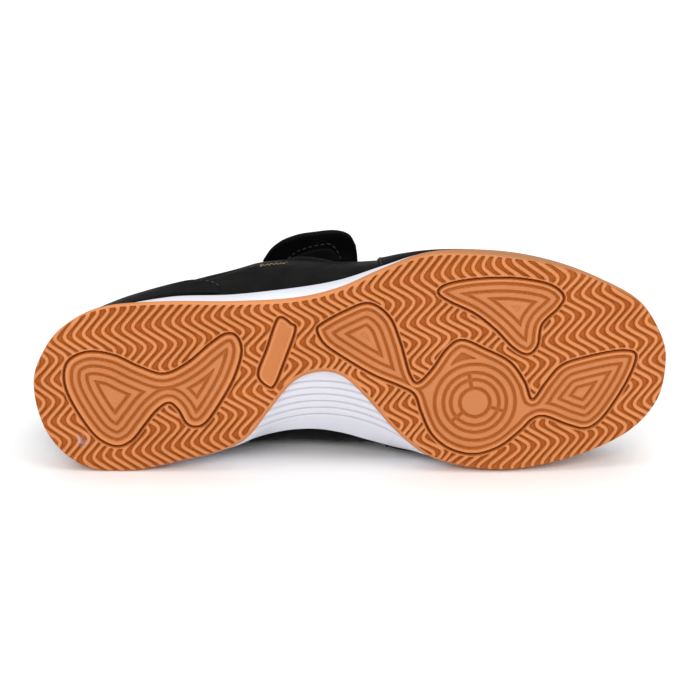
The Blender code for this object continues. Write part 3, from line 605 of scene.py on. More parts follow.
# %% The wave field
WAVE_COLUMNS = ("along", "row_line", "step_out", "next_out", "step_in", "lead", "drift", "reach")
WAVE_ROWS = (
    (0, 3.4, 7.7, 7.7, 8.0, -0.77, -0.031, 3.25),
    (25, -0.4, 7.8, 7.8, 7.9, -0.72, -0.036, 3.25),
    (50, -3.3, 8.1, 8.1, 7.7, -0.95, -0.036, 3.4),
    (75, -8.8, 7.2, 7.2, 7.8, -0.98, -0.036, 3.3),
    (100, -12.3, 7.6, 7.6, 7.7, -1.36, -0.051, 3.4),
    (125, -17.1, 8.9, 7.2, 7.6, -0.59, -0.046, 3.4),
    (150, -21.3, 7.3, 9.6, 7.1, -0.50, -0.033, 3.4),
    (175, -25.8, 8.0, 9.4, 7.7, -1.11, -0.043, 3.4),
    (200, -29.8, 7.3, 9.0, 7.7, -1.41, -0.036, 3.3),
    (228, -34.2, 6.0, 8.0, 7.7, -1.57, -0.036, 3.3),
)
RIB_PITCH = 3.55
RIB_HALF = 0.74
WALL_RUN = 0.42
CORNER_SHARPNESS = 0.80


def wave_value(x, y):
    """Counts the ribs: a whole number lies on a rib's middle line."""
    rows = np.array(WAVE_ROWS)
    at = {name: np.interp(x, rows[:, 0], rows[:, i]) for i, name in enumerate(WAVE_COLUMNS)}
    across = y - at["row_line"]
    past = np.minimum(across + at["step_out"], 0)
    outer_row = (across - past) / at["step_out"] + past / at["next_out"]
    row = np.where(across > 0, across / at["step_in"], outer_row)
    zigzag = 1 - 2 * np.abs(row % 2 - 1)
    zigzag = np.arcsin(CORNER_SHARPNESS * np.sin(math.pi / 2 * zigzag)) / math.asin(CORNER_SHARPNESS)
    return (x - at["reach"] * zigzag) / RIB_PITCH + at["lead"] + at["drift"] * y


def rib_distance(x, y):
    """Distance from the nearest rib's middle line."""
    step = 0.05
    count = wave_value(x, y)
    slope_x = (wave_value(x + step, y) - wave_value(x - step, y)) / (2 * step)
    slope_y = (wave_value(x, y + step) - wave_value(x, y - step)) / (2 * step)
    return np.abs((count + 0.5) % 1 - 0.5) / np.hypot(slope_x, slope_y)


def smooth_step(value):
    value = np.clip(value, 0, 1)
    return value * value * (3 - 2 * value)


def groove(distance, half):
    """1 in the groove's floor, 0 past its walls."""
    return 1 - smooth_step((np.abs(distance) - half + WALL_RUN / 2) / WALL_RUN)


# %% [markdown]
# Ribs, islands, rings and the rim are laid over each other by taking the deeper of two depths, as a cutter
# does in the mould. Soft steps round every corner a little.

# %% How deep each point of the tread lies
CHANNEL_DEPTH = 1.15
CONTOUR_DEPTH = 0.85
OUTLINE_DEPTH = 1.5
OUTLINE_HALF = 0.42
CONTOUR_HALF = 0.56
ISLAND_RIM = 0.75
BOW_GROOVES = (2.7, 5.4, 8.3, 11.3)
CHAIN_GROOVES = (2.3, 5.1, 7.9)
DIAMOND_GROOVES = (2.2, 4.95, 7.7, 10.4)
FIN_GROOVES = (2.1, 4.9, 7.7)
TRIANGLE_HOLLOW, FIN_HOLLOW, HOLLOW_SHARE = 9.9, 9.8, 0.45
ISLAND_DROP, PLATE_DROP = 0.12, 0.3
PIVOT_SPAN = (139.0, 177.5)
CORNER_HOLLOW = 4.4
EDGE_FADE = 0.6
RIM_ROWS = ((0, -0.5), (1.5, -0.5), (3.0, 0.3), (7, 0.4), (10, 0.5), (11, 0.4), (12, -0.3), (22.5, -0.5),
            (24, 0.5), (30, 0.5), (31.5, -0.5), (36, -0.5))
RING_HALF = 0.62


def contour_grooves(inside, distances, hollow=99.0):
    """Grooves at steps from an island's outline, and a shallow flat further in than the hollow's distance."""
    depth = np.max([groove(inside - d, CONTOUR_HALF) for d in distances], axis=0)
    return np.maximum(depth, smooth_step((inside - hollow) / WALL_RUN) * HOLLOW_SHARE)


def pivot_pattern(x, y, inside):
    """The turning disc under the ball: rings, three short spokes and one groove along the outline."""
    centre_x, centre_y = PIVOT_CENTRE
    radius = np.hypot(x - centre_x, y - centre_y)
    angle = np.degrees(np.arctan2(y - centre_y, x - centre_x))
    rings = np.max([groove(radius - ring, RING_HALF) for ring in PIVOT_RINGS], axis=0)
    for spoke in PIVOT_SPOKES:
        off = np.radians((angle - spoke + 180) % 360 - 180)
        band = groove(radius * np.sin(off), RING_HALF) * (np.abs(off) < 1)
        rings = np.maximum(rings, band * (radius > PIVOT_RINGS[0]) * (radius < PIVOT_RINGS[2]))
    outer = np.maximum(groove(inside - CHAIN_GROOVES[0], CONTOUR_HALF),
                       smooth_step((inside - CORNER_HOLLOW) / WALL_RUN) * (y < 0))
    return np.where(radius < PIVOT_REACH, rings, outer * smooth_step((radius - PIVOT_REACH) / WALL_RUN))


def edge_rim(places):
    """Width of the plain rim at the nearest edge. Where it is below zero the channels run out."""
    turns = np.arange(0, ROUND, 0.1)
    line = tread_point(turns)
    width = np.interp(turns, [row[0] for row in RIM_ROWS], [row[1] for row in RIM_ROWS])
    result = np.empty(len(places))
    for first in range(0, len(places), CHUNK):
        away = ((places[first:first + CHUNK, None, :] - line)**2).sum(-1)
        result[first:first + CHUNK] = width[away.argmin(1)]
    return result


def tread_depth(places, edge_distance):
    """Depth of the tread's surface above the ground plane, in millimetres."""
    x, y = places[:, 0], places[:, 1]
    bow, chain, fin, plate = (distance_inside(places, curve) for curve in ISLANDS)
    nearest = np.max([bow, chain, fin, plate], axis=0)
    depth = smooth_step((rib_distance(x, y) - RIB_HALF + WALL_RUN / 2) / WALL_RUN) * CHANNEL_DEPTH
    depth *= smooth_step((-nearest - OUTLINE_HALF - ISLAND_RIM + 0.3) / 0.5)
    depth *= smooth_step((edge_distance - edge_rim(places)) / EDGE_FADE)
    inner = np.where(bow > 0, contour_grooves(bow, BOW_GROOVES), 0)
    triangle = contour_grooves(chain, CHAIN_GROOVES, TRIANGLE_HOLLOW)
    diamond = contour_grooves(chain, DIAMOND_GROOVES)
    middle = pivot_pattern(x, y, chain)
    pattern = np.where(x < PIVOT_SPAN[0], triangle, np.where(x > PIVOT_SPAN[1], diamond, middle))
    inner = np.where(chain > 0, pattern, inner)
    inner = np.where(fin > 0, contour_grooves(fin, FIN_GROOVES, FIN_HOLLOW), inner)
    drop = np.where(plate > 0, PLATE_DROP, ISLAND_DROP)
    depth = np.maximum(depth, np.maximum(inner * CONTOUR_DEPTH, smooth_step(nearest - 1.0) * drop))
    return np.maximum(depth, groove(nearest, OUTLINE_HALF) * OUTLINE_DEPTH)


# %% [markdown]
# A map of depths becomes a mesh on a fine square grid, about a third of a millimetre wide, which is finer
# than the narrowest groove. The grid stops just short of the sole's edge, and a narrow band of triangles
# ties it to the edge's own smooth line. Three sections keep each mesh to a size that any program opens.
# Cutting contours out with a Boolean would give crisper corners, but real moulded rubber has soft ones.

# %% Cut a section out of the tread
CELL = 0.30
SECTION_CUTS = (-1.0, 78.0, 153.0, 229.5)
SECTION_SIDES = (-45.0, 38.0)
BAND = 0.18
LID = PLATE - 0.1
EDGE_PLACES = 1900

edge_places = even_places(tread_point, EDGE_PLACES)
edge_curve = tread_point(edge_places)
edge_ways = outward(tread_point, edge_places)
field_ring = edge_curve - edge_ways * EDGE_ROUNDING


def section_ring(low_x, high_x):
    """The field ring between two cuts, as runs of points with exact crossings at the cuts."""
    runs, run = [], []
    count = len(field_ring)
    within = (field_ring[:, 0] > low_x) & (field_ring[:, 0] < high_x)
    start = int(np.argmin(within)) if not within.all() else 0
    for step in range(count + 1):
        i, j = (start + step - 1) % count, (start + step) % count
        if within[i] != within[j]:
            p, q = field_ring[i], field_ring[j]
            cut = low_x if (min(p[0], q[0]) <= low_x) else high_x
            run.append(p + (q - p) * (cut - p[0]) / (q[0] - p[0]))
            if not within[j]:
                runs.append(np.array(run))
                run = []
        if within[j] and step < count:
            run.append(field_ring[j])
    if within.all():
        runs.append(np.array(run))
    return runs


def section_grid(low_x, high_x):
    """Corners of the grid in a section, and which of its cells lie wholly inside the field ring."""
    columns = int(round((high_x - low_x) / CELL))
    xs = low_x + np.arange(columns + 1) * (high_x - low_x) / columns
    ys = np.arange(*SECTION_SIDES, CELL)
    grid = np.stack(np.meshgrid(xs, ys, indexing="ij"), -1)
    inside = distance_inside(grid.reshape(-1, 2), field_ring[::4]).reshape(grid.shape[:2])
    good = inside > BAND
    cells_in = good[:-1, :-1] & good[1:, :-1] & good[:-1, 1:] & good[1:, 1:]
    return grid, inside, cells_in


# %% [markdown]
# Between the grid's stepped border and the smooth edge lies a thin gap. A constrained triangulation fills
# it: it takes both borders as fixed lines, and the triangles that fall on the grid are thrown away.

# %% Tie the grid to the sole's edge
def border_edges(faces):
    """Directed edges that only one face uses."""
    pairs = np.concatenate([np.stack([face_column, np.roll(faces, -1, axis=1)[:, i]], -1)
                            for i, face_column in enumerate(faces.T)])
    key = np.sort(pairs, axis=1)
    code = key[:, 0].astype(np.int64) * (int(key.max()) + 1) + key[:, 1]
    _, index, number = np.unique(code, return_index=True, return_counts=True)
    return pairs[index[number == 1]]


def tie_band(grid_points, grid_edges, runs, cuts, cells_in, origin, sizes):
    """Triangles between the grid's border and the ring."""
    used, edges = np.unique(grid_edges, return_inverse=True)
    flat = [Vector(p) for p in grid_points[used]]
    lines = [tuple(map(int, pair)) for pair in edges.reshape(-1, 2)]
    ring_first = len(flat)
    for run in runs:
        first = len(flat)
        flat.extend(Vector(p) for p in run)
        lines.extend((first + i, first + i + 1) for i in range(len(run) - 1))
        if len(runs) == 1 and np.hypot(*(run[0] - run[-1])) < 1.0:
            lines.append((len(flat) - 1, first))
    for cut in cuts:
        column = [i for i, p in enumerate(flat) if abs(p.x - cut) < 1e-4]
        column.sort(key=lambda i: flat[i].y)
        lines.extend(((column[0], column[1]), (column[-2], column[-1])) if len(column) > 3 else ())
    places, _, faces, origins, _, _ = delaunay_2d_cdt(flat, lines, [], 1, 1e-6)
    middle = np.array([np.mean([places[i] for i in face], axis=0) for face in faces])
    cell = np.floor((middle - origin) / sizes).astype(int)
    cell = np.clip(cell, 0, np.array(cells_in.shape) - 1)
    keep = ~cells_in[cell[:, 0], cell[:, 1]]
    names = [origin_list[0] for origin_list in origins]
    ring_points = np.array([flat[i] for i in range(ring_first, len(flat))])
    return used, ring_first, ring_points, [[names[i] for i in face] for face, ok in zip(faces, keep) if ok]


# %% [markdown]
# Each section is closed like a shallow box: the tread on one side, short walls round its border, and a flat
# lid inside the gum plate. The walls of two neighbours meet at the cut, so no gap shows there.

# %% Build the sections of the tread
def border_loops(faces):
    """Closed loops of the edges that only one face uses."""
    after = {}
    seen = {}
    for face in faces:
        for v, w in zip(face, list(face[1:]) + [face[0]]):
            key = (v, w) if v < w else (w, v)
            seen[key] = seen.get(key, 0) + 1
            after[(v, w)] = True
    onward = {}
    for v, w in after:
        if seen[(v, w) if v < w else (w, v)] == 1:
            onward[v] = w
    loops = []
    while onward:
        start, v = next(iter(onward.items()))
        loop = [start]
        del onward[start]
        while v != start:
            loop.append(v)
            v = onward.pop(v)
        loops.append([int(i) for i in loop])
    return loops


def add_lid(flat, first, faces):
    """Closes a section downwards, with faces from its border to a flat lid inside the gum plate."""
    border = border_loops(faces)
    names = [v for loop in border for v in loop]
    place_of = {v: first + i for i, v in enumerate(names)}
    edges = []
    for loop in border:
        start = len(edges)
        for v, w in zip(loop, loop[1:] + loop[:1]):
            faces.append([w, v, place_of[v], place_of[w]])
        edges.extend((start + i, start + (i + 1) % len(loop)) for i in range(len(loop)))
    _, _, lid_faces, origins, _, _ = delaunay_2d_cdt([Vector(p) for p in flat[names]], edges, [], 1, 1e-6)
    faces.extend([[first + origins[i][0] for i in face] for face in lid_faces])
    return np.column_stack([flat[names], ground(flat[names, 0]) + LID])


def make_tread_section(name, low_x, high_x):
    grid, inside, cells_in = section_grid(low_x, high_x)
    rows, columns = grid.shape[:2]
    numbers = np.arange(rows * columns).reshape(rows, columns)
    a, b, c, d = numbers[:-1, :-1], numbers[1:, :-1], numbers[1:, 1:], numbers[:-1, 1:]
    quads = np.stack([corner[cells_in] for corner in (a, b, c, d)], -1)
    points = grid.reshape(-1, 2)
    runs = section_ring(low_x, high_x)
    cuts = [cut for cut in (low_x, high_x) if cut in SECTION_CUTS[1:-1]]
    sizes = grid[1, 1] - grid[0, 0]
    used, ring_first, ring_points, band = tie_band(points, border_edges(quads), runs, cuts, cells_in,
                                                   grid[0, 0], sizes)
    kept = np.unique(quads)
    lookup = np.full(len(points) + len(ring_points), -1)
    lookup[kept] = np.arange(len(kept))
    flat = np.concatenate([points[kept], ring_points])
    edge_gap = np.concatenate([inside.reshape(-1)[kept], np.zeros(len(ring_points))]) + EDGE_ROUNDING
    depth = tread_depth(flat, edge_gap)
    faces = [list(face) for face in lookup[quads]]
    for face in band:
        faces.append([lookup[used[i]] if i < ring_first else len(kept) + i - ring_first for i in face])
    tops = np.column_stack([flat, ground(flat[:, 0]) + depth])
    lids = add_lid(flat, len(tops), faces)
    # The depth share also sets the painted shade in the gum's colour.
    low = np.concatenate([depth / OUTLINE_DEPTH, np.zeros(len(lids))])
    piece = new_piece(name, np.concatenate([tops, lids]), faces, gum, 35, {"low": low})
    print(name, triangles_of(piece), "triangles")
    return piece


tread_pieces = [make_tread_section("gum_tread_" + part, low_x, high_x)
                for part, low_x, high_x in zip(("heel", "waist", "toe"), SECTION_CUTS, SECTION_CUTS[1:])]

# %% [markdown]
# The gum turns up round the foam like a shallow cup. Its wall is one ring: a section that starts on the
# tread, rounds over the edge, swells and leans in to its top, and comes down again inside. Sweeping a
# section round the outline is the natural way for a shape that is everywhere alike but nowhere the same.

# %% Wall of the gum cup
EDGE_INSETS = (1.2, 0.95, 0.7, 0.48, 0.28, 0.12, 0.03)
WALL_STEPS = 9
TOP_ROUNDING = 0.35
TUCK, TUCK_LIFT = 0.4, 0.12
# The outer forefoot wall, round FLANK_MIDDLE, is painted darker: painted shade. FLANK_SHARE sets how much.
FLANK_SHARE, FLANK_MIDDLE, FLANK_REACH, FLANK_FADE = 0.85, 11.0, 2.6, 0.7
WALL_LOW, INSIDE_LOW = 0.05, 0.1


def cup_inside(edge, way, corner, height):
    """The cup's inner line under its top, and how far the cup is turned up there, as a share."""
    cup = np.clip((height - PLATE) / (GUM_HEIGHT - PLATE), 0, 1)[:, None]
    inner = edge - way * GUM_WALL
    return inner + (corner - way * GUM_WALL - inner) * cup, cup


def make_gum_wall():
    rings, lows, flank_shade_rows = [], [], []
    low = ground(edge_curve[:, 0])
    height = gum_height(edge_places)
    corner = gum_top_point(edge_places)
    inner, cup = cup_inside(edge_curve, edge_ways, corner, height)
    # Share of painted shade on the outer forefoot wall.
    flank_shade_share = FLANK_SHARE * np.exp(-((edge_places - FLANK_MIDDLE) / FLANK_REACH)**2)
    for inset in (EDGE_INSETS[0] + TUCK,) + EDGE_INSETS:
        flat = edge_curve - edge_ways * inset
        depth = tread_depth(flat, np.full(len(flat), inset))
        rise = EDGE_ROUNDING - math.sqrt(EDGE_ROUNDING**2 - max(EDGE_ROUNDING - inset, 0)**2)
        under = TUCK_LIFT if inset > EDGE_INSETS[0] else 0.0
        rings.append(np.column_stack([flat, ground(flat[:, 0]) + np.maximum(rise, depth) + under]))
        # The depth share sets painted shade on the rounded edge too.
        lows.append(depth / OUTLINE_DEPTH)
        flank_shade_rows.append(flank_shade_share * smooth_step((FLANK_FADE - inset) / FLANK_FADE))
    for step in range(1, WALL_STEPS + 1):
        u = step / WALL_STEPS
        swell = (FLAT_BULGE + (GUM_BULGE - FLAT_BULGE) * cup) * 4 * u * (1 - u)
        flat = edge_curve + (corner - edge_curve) * u + edge_ways * swell
        z = low + EDGE_ROUNDING + (height - EDGE_ROUNDING - TOP_ROUNDING) * u
        rings.append(np.column_stack([flat, z]))
        lows.append(np.full(len(flat), WALL_LOW))
        flank_shade_rows.append(flank_shade_share)
    rings.append(np.column_stack([corner - edge_ways * TOP_ROUNDING, low + height]))
    rings.append(np.column_stack([inner, low + height]))
    rings.append(np.column_stack([inner, low + PLATE]))
    rings.append(np.column_stack([field_ring, low + LID]))
    lows.extend([np.full(len(edge_curve), INSIDE_LOW)] * 4)
    flank_shade_rows.extend([flank_shade_share] * 4)
    return new_piece("gum_side_wall", np.concatenate(rings), ring_faces(len(rings), len(edge_curve)), gum, 35,
                     {"low": np.concatenate(lows), "painted_flank_shade": np.concatenate(flank_shade_rows)})


gum_wall = make_gum_wall()
print("gum wall", triangles_of(gum_wall), "triangles")

# %% [markdown]
# The white wedge sits in the gum cup. On the outer side it shows as a smooth band, and under the arch it
# is a deep hollow wall with fine grooves that run along the shoe. Each groove is a flat bow, and the next
# one lies a step further up the wall, so all of them run off into the gum at both ends of the arch.

# %% White wedge
WEDGE_PLACES = 640
WEDGE_RISES = 96
ARCH_FIRST, ARCH_PITCH, ARCH_COUNT = 2.5, 2.5, 6
ARCH_MIDDLE, ARCH_BOW = 103.0, 0.0103
ARCH_GROOVE_HALF, ARCH_GROOVE_DEPTH = 0.10, 0.45
ARCH_SPAN, ARCH_FADE, ARCH_SIDE = (72.0, 142.0), 4.0, -5.0
ARCH_LEAN = 0.336
ARCH_CORNER = 0.3
WEDGE_TOP_INSET = 0.6


def wedge_wall(t, u):
    """A point of the wedge's outer wall, u from the gum's top to the upper."""
    edge = tread_point(t)
    low = ground(edge[..., 0])
    corner = gum_top_point(t)
    rim = rim_point(t)
    high = bed(rim[..., 0]) - GAP
    start = low + gum_height(t) + GAP
    way = outward(tread_point, t)
    swell = (WEDGE_BULGE * 4 * u * (1 - u))[..., None]
    flat = corner + (rim - corner) * u[..., None] + way * swell
    z = start + (high - start) * u**ARCH_CURVE
    return np.concatenate([flat, z[..., None]], -1)


def arch_relief(t, u):
    """How far a point of the wall is cut in, as a share. The grooves are bows that lean with the wall."""
    point = wedge_wall(t, u)
    x, y, z = np.moveaxis(point, -1, 0)
    side = (y - ARCH_LEAN * z) / (1 + z / 1000) - ARCH_BOW * (x - ARCH_MIDDLE)**2
    count = (side - ARCH_FIRST) / ARCH_PITCH
    near = np.abs(count - np.round(count)) * ARCH_PITCH
    wanted = (np.round(count) >= 0) & (np.round(count) < ARCH_COUNT)
    behind, ahead = (x - ARCH_SPAN[0]) / ARCH_FADE, (ARCH_SPAN[1] - x) / ARCH_FADE
    inner_side = smooth_step(behind) * smooth_step(ahead) * (y > ARCH_SIDE)
    return wanted * inner_side * (1 - smooth_step((near - ARCH_GROOVE_HALF) / ARCH_CORNER))


def make_wedge():
    t = even_places(rim_point, WEDGE_PLACES)
    u = np.linspace(0, 1, WEDGE_RISES)
    places, rises = np.meshgrid(t, u)
    wall = wedge_wall(places, rises)
    step = 0.01
    along = wedge_wall(places + step * 3, rises) - wedge_wall(places - step * 3, rises)
    rise = wedge_wall(places, np.clip(rises + step, 0, 1)) - wedge_wall(places, np.clip(rises - step, 0, 1))
    cut = arch_relief(places, rises)
    wall = wall - unit(np.cross(along, rise)) * cut[..., None] * ARCH_GROOVE_DEPTH
    edge = tread_point(t)
    way = outward(tread_point, t)
    height = gum_height(t)
    inner = cup_inside(edge, way, gum_top_point(t), height)[0] - way * GAP
    low = ground(edge[:, 0])
    top = rim_point(t) - outward(rim_point, t) * WEDGE_TOP_INSET
    rings = [np.column_stack([inner, low + PLATE + GAP]), np.column_stack([inner, low + height + GAP])]
    rings.extend(wall)
    rings.append(np.column_stack([top, bed(top[:, 0])]))
    count = len(t)
    faces = list(strip_faces(len(rings), count, closed=True))
    points = np.concatenate(rings)
    for first in (0, (len(rings) - 1) * count):
        faces.extend(cap_faces(points, first, count))
    # The grooves' share goes along with the mesh and sets the painted shade in the foam's colour.
    cuts = np.concatenate([np.zeros(2 * count), cut.reshape(-1), np.zeros(count)])
    return new_piece("white_arch_wedge", points, faces, foam, 45, {"cut": cuts})


wedge = make_wedge()
print("wedge", triangles_of(wedge), "triangles")

# %% [markdown]
# The upper was pulled over a last: from the sole's rim each section swings out over the foot's side and
# comes in to the topline. Two thin skins share its wall: leather outside and a knitted lining inside. Soft
# troughs and ridges are added where the foot bends it and where panels pull on it.

# %% Walls of the upper
UPPER_ROWS = (
    (0.0, 3.5, 12.0, 8.0, 5.0, 58.0, 4.0, 13.0),
    (1.5, 1.5, 10.0, 14.5, -3.4, 55.5, 4.0, 12.0),
    (3.0, 0.8, 10.0, 30.0, -11.4, 50.0, 4.5, 11.0),
    (4.0, 4.0, 12.0, 46.0, -15.6, 47.5, 7.0, 11.0),
    (5.0, 12.0, 16.0, 66.0, -19.0, 52.0, 12.5, 11.0),
    (5.7, 11.3, 16.0, 86.0, -13.8, 67.0, 16.0, 8.0),
    (7.0, 8.5, 13.0, 110.0, -11.0, 62.5, 16.5, 4.5),
    (8.4, 3.0, 11.0, 128.0, -7.6, 58.0, 16.5, 2.0),
    (10.3, -1.7, 12.0, 133.6, -3.6, 56.4, 18.0, 3.5),
    (12.6, -1.7, 13.0, 134.7, -1.6, 56.0, 29.0, 7.5),
    (16.0, 0.0, 14.0, 135.0, 0.3, 56.0, 38.0, 10.0),
    (19.4, 2.0, 13.5, 134.7, 2.2, 56.0, 30.0, 7.5),
    (21.8, 2.5, 12.0, 133.6, 4.4, 56.4, 20.0, 3.5),
    (24.0, 8.0, 8.5, 128.0, 8.8, 58.2, 19.0, 2.0),
    (26.1, 17.0, 6.0, 110.0, 13.2, 63.0, 22.5, 2.5),
    (28.9, 15.5, 6.5, 86.0, 18.0, 67.5, 17.5, 6.0),
    (30.3, 10.5, 8.0, 68.0, 24.5, 53.5, 8.5, 10.0),
    (31.7, 7.0, 10.0, 46.0, 27.0, 47.5, 5.0, 10.0),
    (34.0, 7.0, 11.0, 18.5, 19.5, 54.5, 4.0, 12.0),
)
UPPER_INSET = 1.2
UPPER_WALL = 2.0
LEATHER = 1.25
upper_at = spline([row[0] for row in UPPER_ROWS], [row[1:] for row in UPPER_ROWS], ROUND)


def flat_and_z(flat, z):
    return np.concatenate([flat, z[..., None]], -1)


def meridian(t):
    belly_out, belly_up, top_x, top_y, top_z, tail_out, tail_down = np.moveaxis(upper_at(t), -1, 0)
    way = outward(rim_point, t)
    foot = rim_point(t) - way * UPPER_INSET
    start = flat_and_z(foot, bed(foot[..., 0]) + GAP)
    end = np.stack([top_x, top_y, top_z], -1)
    run = unit(foot - end[..., :2])
    belly = start + flat_and_z(way * belly_out[..., None], belly_up)
    tail = end + flat_and_z(run * tail_out[..., None], -tail_down)
    return start, belly, tail, end


def wall_point(t, s):
    a, b, c, d = meridian(t)
    s = s[..., None]
    r = 1 - s
    return a * r**3 + b * 3 * r**2 * s + c * 3 * r * s**2 + d * s**3


def wall_normal(t, s):
    step = 0.01
    round_way = wall_point(t + step * 4, s) - wall_point(t - step * 4, s)
    rise_way = wall_point(t, np.minimum(s + step, 1)) - wall_point(t, np.maximum(s - step, 0))
    return unit(np.cross(round_way, rise_way))


def shell_point(t, s, depth):
    """A point on the upper's wall, depth below its outer face. Each value is a number or an array."""
    t, s, depth = np.broadcast_arrays(np.asarray(t, float), np.asarray(s, float), np.asarray(depth, float))
    return wall_point(t, s) - wall_normal(t, s) * depth[..., None]


# %% [markdown]
# New leather shows no sharp folds, only soft troughs where the foot will bend it. A noise would put them
# anywhere, so each is listed one by one: its middle's place round the shoe and rise on the wall, how far it
# runs along both, its width and its depth.

# %% Creases
CREASES = (
    (10.2, 0.70, 1.3, 0.16, 0.055, 0.55),
    (11.3, 0.62, 1.6, 0.14, 0.060, 0.50),
    (12.6, 0.60, 1.4, 0.05, 0.055, 0.35),
    (20.6, 0.66, 1.5, -0.14, 0.060, 0.55),
    (21.8, 0.72, 1.2, -0.18, 0.055, 0.50),
    (5.3, 0.45, 0.9, 0.20, 0.060, 0.40),
    (6.6, 0.40, 1.0, -0.16, 0.070, 0.35),
    (29.6, 0.45, 1.0, 0.18, 0.060, 0.45),
    (31.0, 0.50, 0.8, -0.20, 0.060, 0.40),
    (1.6, 0.66, 0.9, 0.05, 0.060, 0.30),
    (34.4, 0.66, 0.9, -0.05, 0.060, 0.30),
)
COLLAR_SWELL = 0.9
COLLAR_LOW, COLLAR_WIDTH = 0.80, 0.17
COLLAR_END, COLLAR_FADE = 6.0, 1.2


def creases_at(t, s):
    """Soft troughs with a low ridge on both sides, in millimetres inwards."""
    total = np.zeros(np.broadcast(t, s).shape)
    for place, rise, length_t, length_s, width, depth in CREASES:
        off = (t - place + ROUND / 2) % ROUND - ROUND / 2
        along = off / length_t
        away = (s - rise - along * length_s) / width
        total += depth * np.exp(-along**2) * (1 - 0.9 * away**2) * np.exp(-away**2)
    return total


def collar_swell(t, s):
    """The padded roll below the collar's edge, none along the throat."""
    off = (t + ROUND / 2) % ROUND - ROUND / 2
    behind = smooth_step((COLLAR_END - np.abs(off)) / COLLAR_FADE)
    return COLLAR_SWELL * behind * np.exp(-((s - COLLAR_LOW) / COLLAR_WIDTH)**2)


# %% [markdown]
# One function makes both skins: rings of points rise on the front, and come down again on the back at
# another depth. The collar's padded roll is a swell of the lining, and a smaller one of the leather.

# %% Skins of the upper
UPPER_AROUND = 520
LEATHER_RISES, INNER_RISES, LINING_RISES = 100, 26, 44
LINING_GAP = 0.1


def upper_skin(name, front, back, front_rises, back_rises, material, swell=0.0):
    """A closed skin of the upper between two depths."""
    t = np.arange(UPPER_AROUND) * ROUND / UPPER_AROUND
    rings = []
    for depth, count, order, push in ((front, front_rises, 1, 1.0), (back, back_rises, -1, 0.3)):
        s = np.linspace(0, 1, count)[::order]
        places, rises = np.meshgrid(t, s)
        sink = depth + creases_at(places, rises) * push - collar_swell(places, rises) * swell
        grid = shell_point(places, rises, sink)
        foot = 0 if order == 1 else -1
        grid[foot, :, 2] = bed(grid[foot, :, 0]) + GAP
        rings.append(grid.reshape(-1, 3))
    faces = ring_faces(front_rises + back_rises, UPPER_AROUND)
    return new_piece(name, np.concatenate(rings), faces, material, 50)


leather_skin = upper_skin("upper_leather", 0.0, LEATHER, LEATHER_RISES, INNER_RISES, leather, 0.5)
lining_skin = upper_skin("upper_lining", LEATHER + LINING_GAP, UPPER_WALL, INNER_RISES, LINING_RISES, lining,
                         -1.0)
print("upper", triangles_of(leather_skin), "and lining", triangles_of(lining_skin), "triangles")

# %% [markdown]
# Panels are sewn on the upper: one wraps the heel, one wraps the forefoot and toe. They are cut from the
# upper's own wall a little further out, so they follow every swell of it, and their edges are turned over.

# %% Panels
COVER, COVER_GAP, COVER_LOW = 0.8, 0.6, 0.03
COUNTER_PLACES, COUNTER_RISE = (-5.0, 5.0), (0.10, 0.72, 0.6)
GUARD_PLACES, GUARD_RISE = (7.9, 24.4), (0.34, 0.64, 1.5)
PATCH_PLACES, PATCH_RISE = (5.8, 6.9), (0.56, 0.86)
UPPER_ROUND = 68
SINK_RUN, SINK_SHARE = 3.5, 0.2
PANEL_ROLL, THIN_RIM, PANEL_TUCK = 0.7, 0.35, 0.35
PLACE_LENGTH, PANEL_TALL = 6.4, 48.0


def counter_height(u):
    low, high, fullness = COUNTER_RISE
    return low + (high - low) * np.sin(math.pi * np.clip(u, 0, 1))**fullness


def guard_height(u):
    low, high, curve = GUARD_RISE
    return low + (high - low) * np.abs(2 * u - 1)**curve


def snapped(ends):
    step = ROUND / UPPER_ROUND
    return round(ends[0] / step) * step, round(ends[1] / step) * step


def rolled(rim, roll):
    """Fullness of a sheet near its rim: a quarter round from 0 at the rim to 1 at the roll's width."""
    return np.sqrt(np.clip(1 - (1 - np.clip(rim / roll, 0, 1))**2, 0, 1))


def make_panel(name, ends, height, material, columns, rises, low=COVER_LOW):
    """A sewn panel with softly turned edges: it thins to the upper at its rim."""
    first, last = snapped(ends)
    u = np.linspace(0, 1, columns)
    v = np.linspace(0, 1, rises)
    uu, vv = np.meshgrid(u, v)
    places = first + (last - first) * uu
    heights = low + (height(uu) - low) * vv
    span = (last - first) * PLACE_LENGTH
    rim = np.minimum.reduce([uu * span, (1 - uu) * span, vv * PANEL_TALL, (1 - vv) * PANEL_TALL])
    lift = COVER_GAP * (SINK_SHARE + (1 - SINK_SHARE) * smooth_step(rim / SINK_RUN))
    sink = creases_at(places, heights) - lift
    outer = shell_point(places, heights, sink - COVER * (THIN_RIM + (1 - THIN_RIM) * rolled(rim, PANEL_ROLL)))
    inner = shell_point(places, heights, sink + PANEL_TUCK)
    return slab_piece(name, outer, inner, material, 60)


counter = make_panel("heel_counter_panel", COUNTER_PLACES, counter_height, panel_leather, 220, 60)
guard = make_panel("toe_guard_panel", GUARD_PLACES, guard_height, panel_leather, 420, 60)
loop_patch = make_panel("loop_tape_patch", PATCH_PLACES, lambda u: PATCH_RISE[1] + 0 * u, tape, 30, 24,
                        PATCH_RISE[0])
print("panels", triangles_of(counter), triangles_of(guard), triangles_of(loop_patch), "triangles")

# %% [markdown]
# Tongue and insole are soft. The tongue is a padded strip in channels that ride over the instep, and the
# insole is a flat bed with a slight cup at the heel.

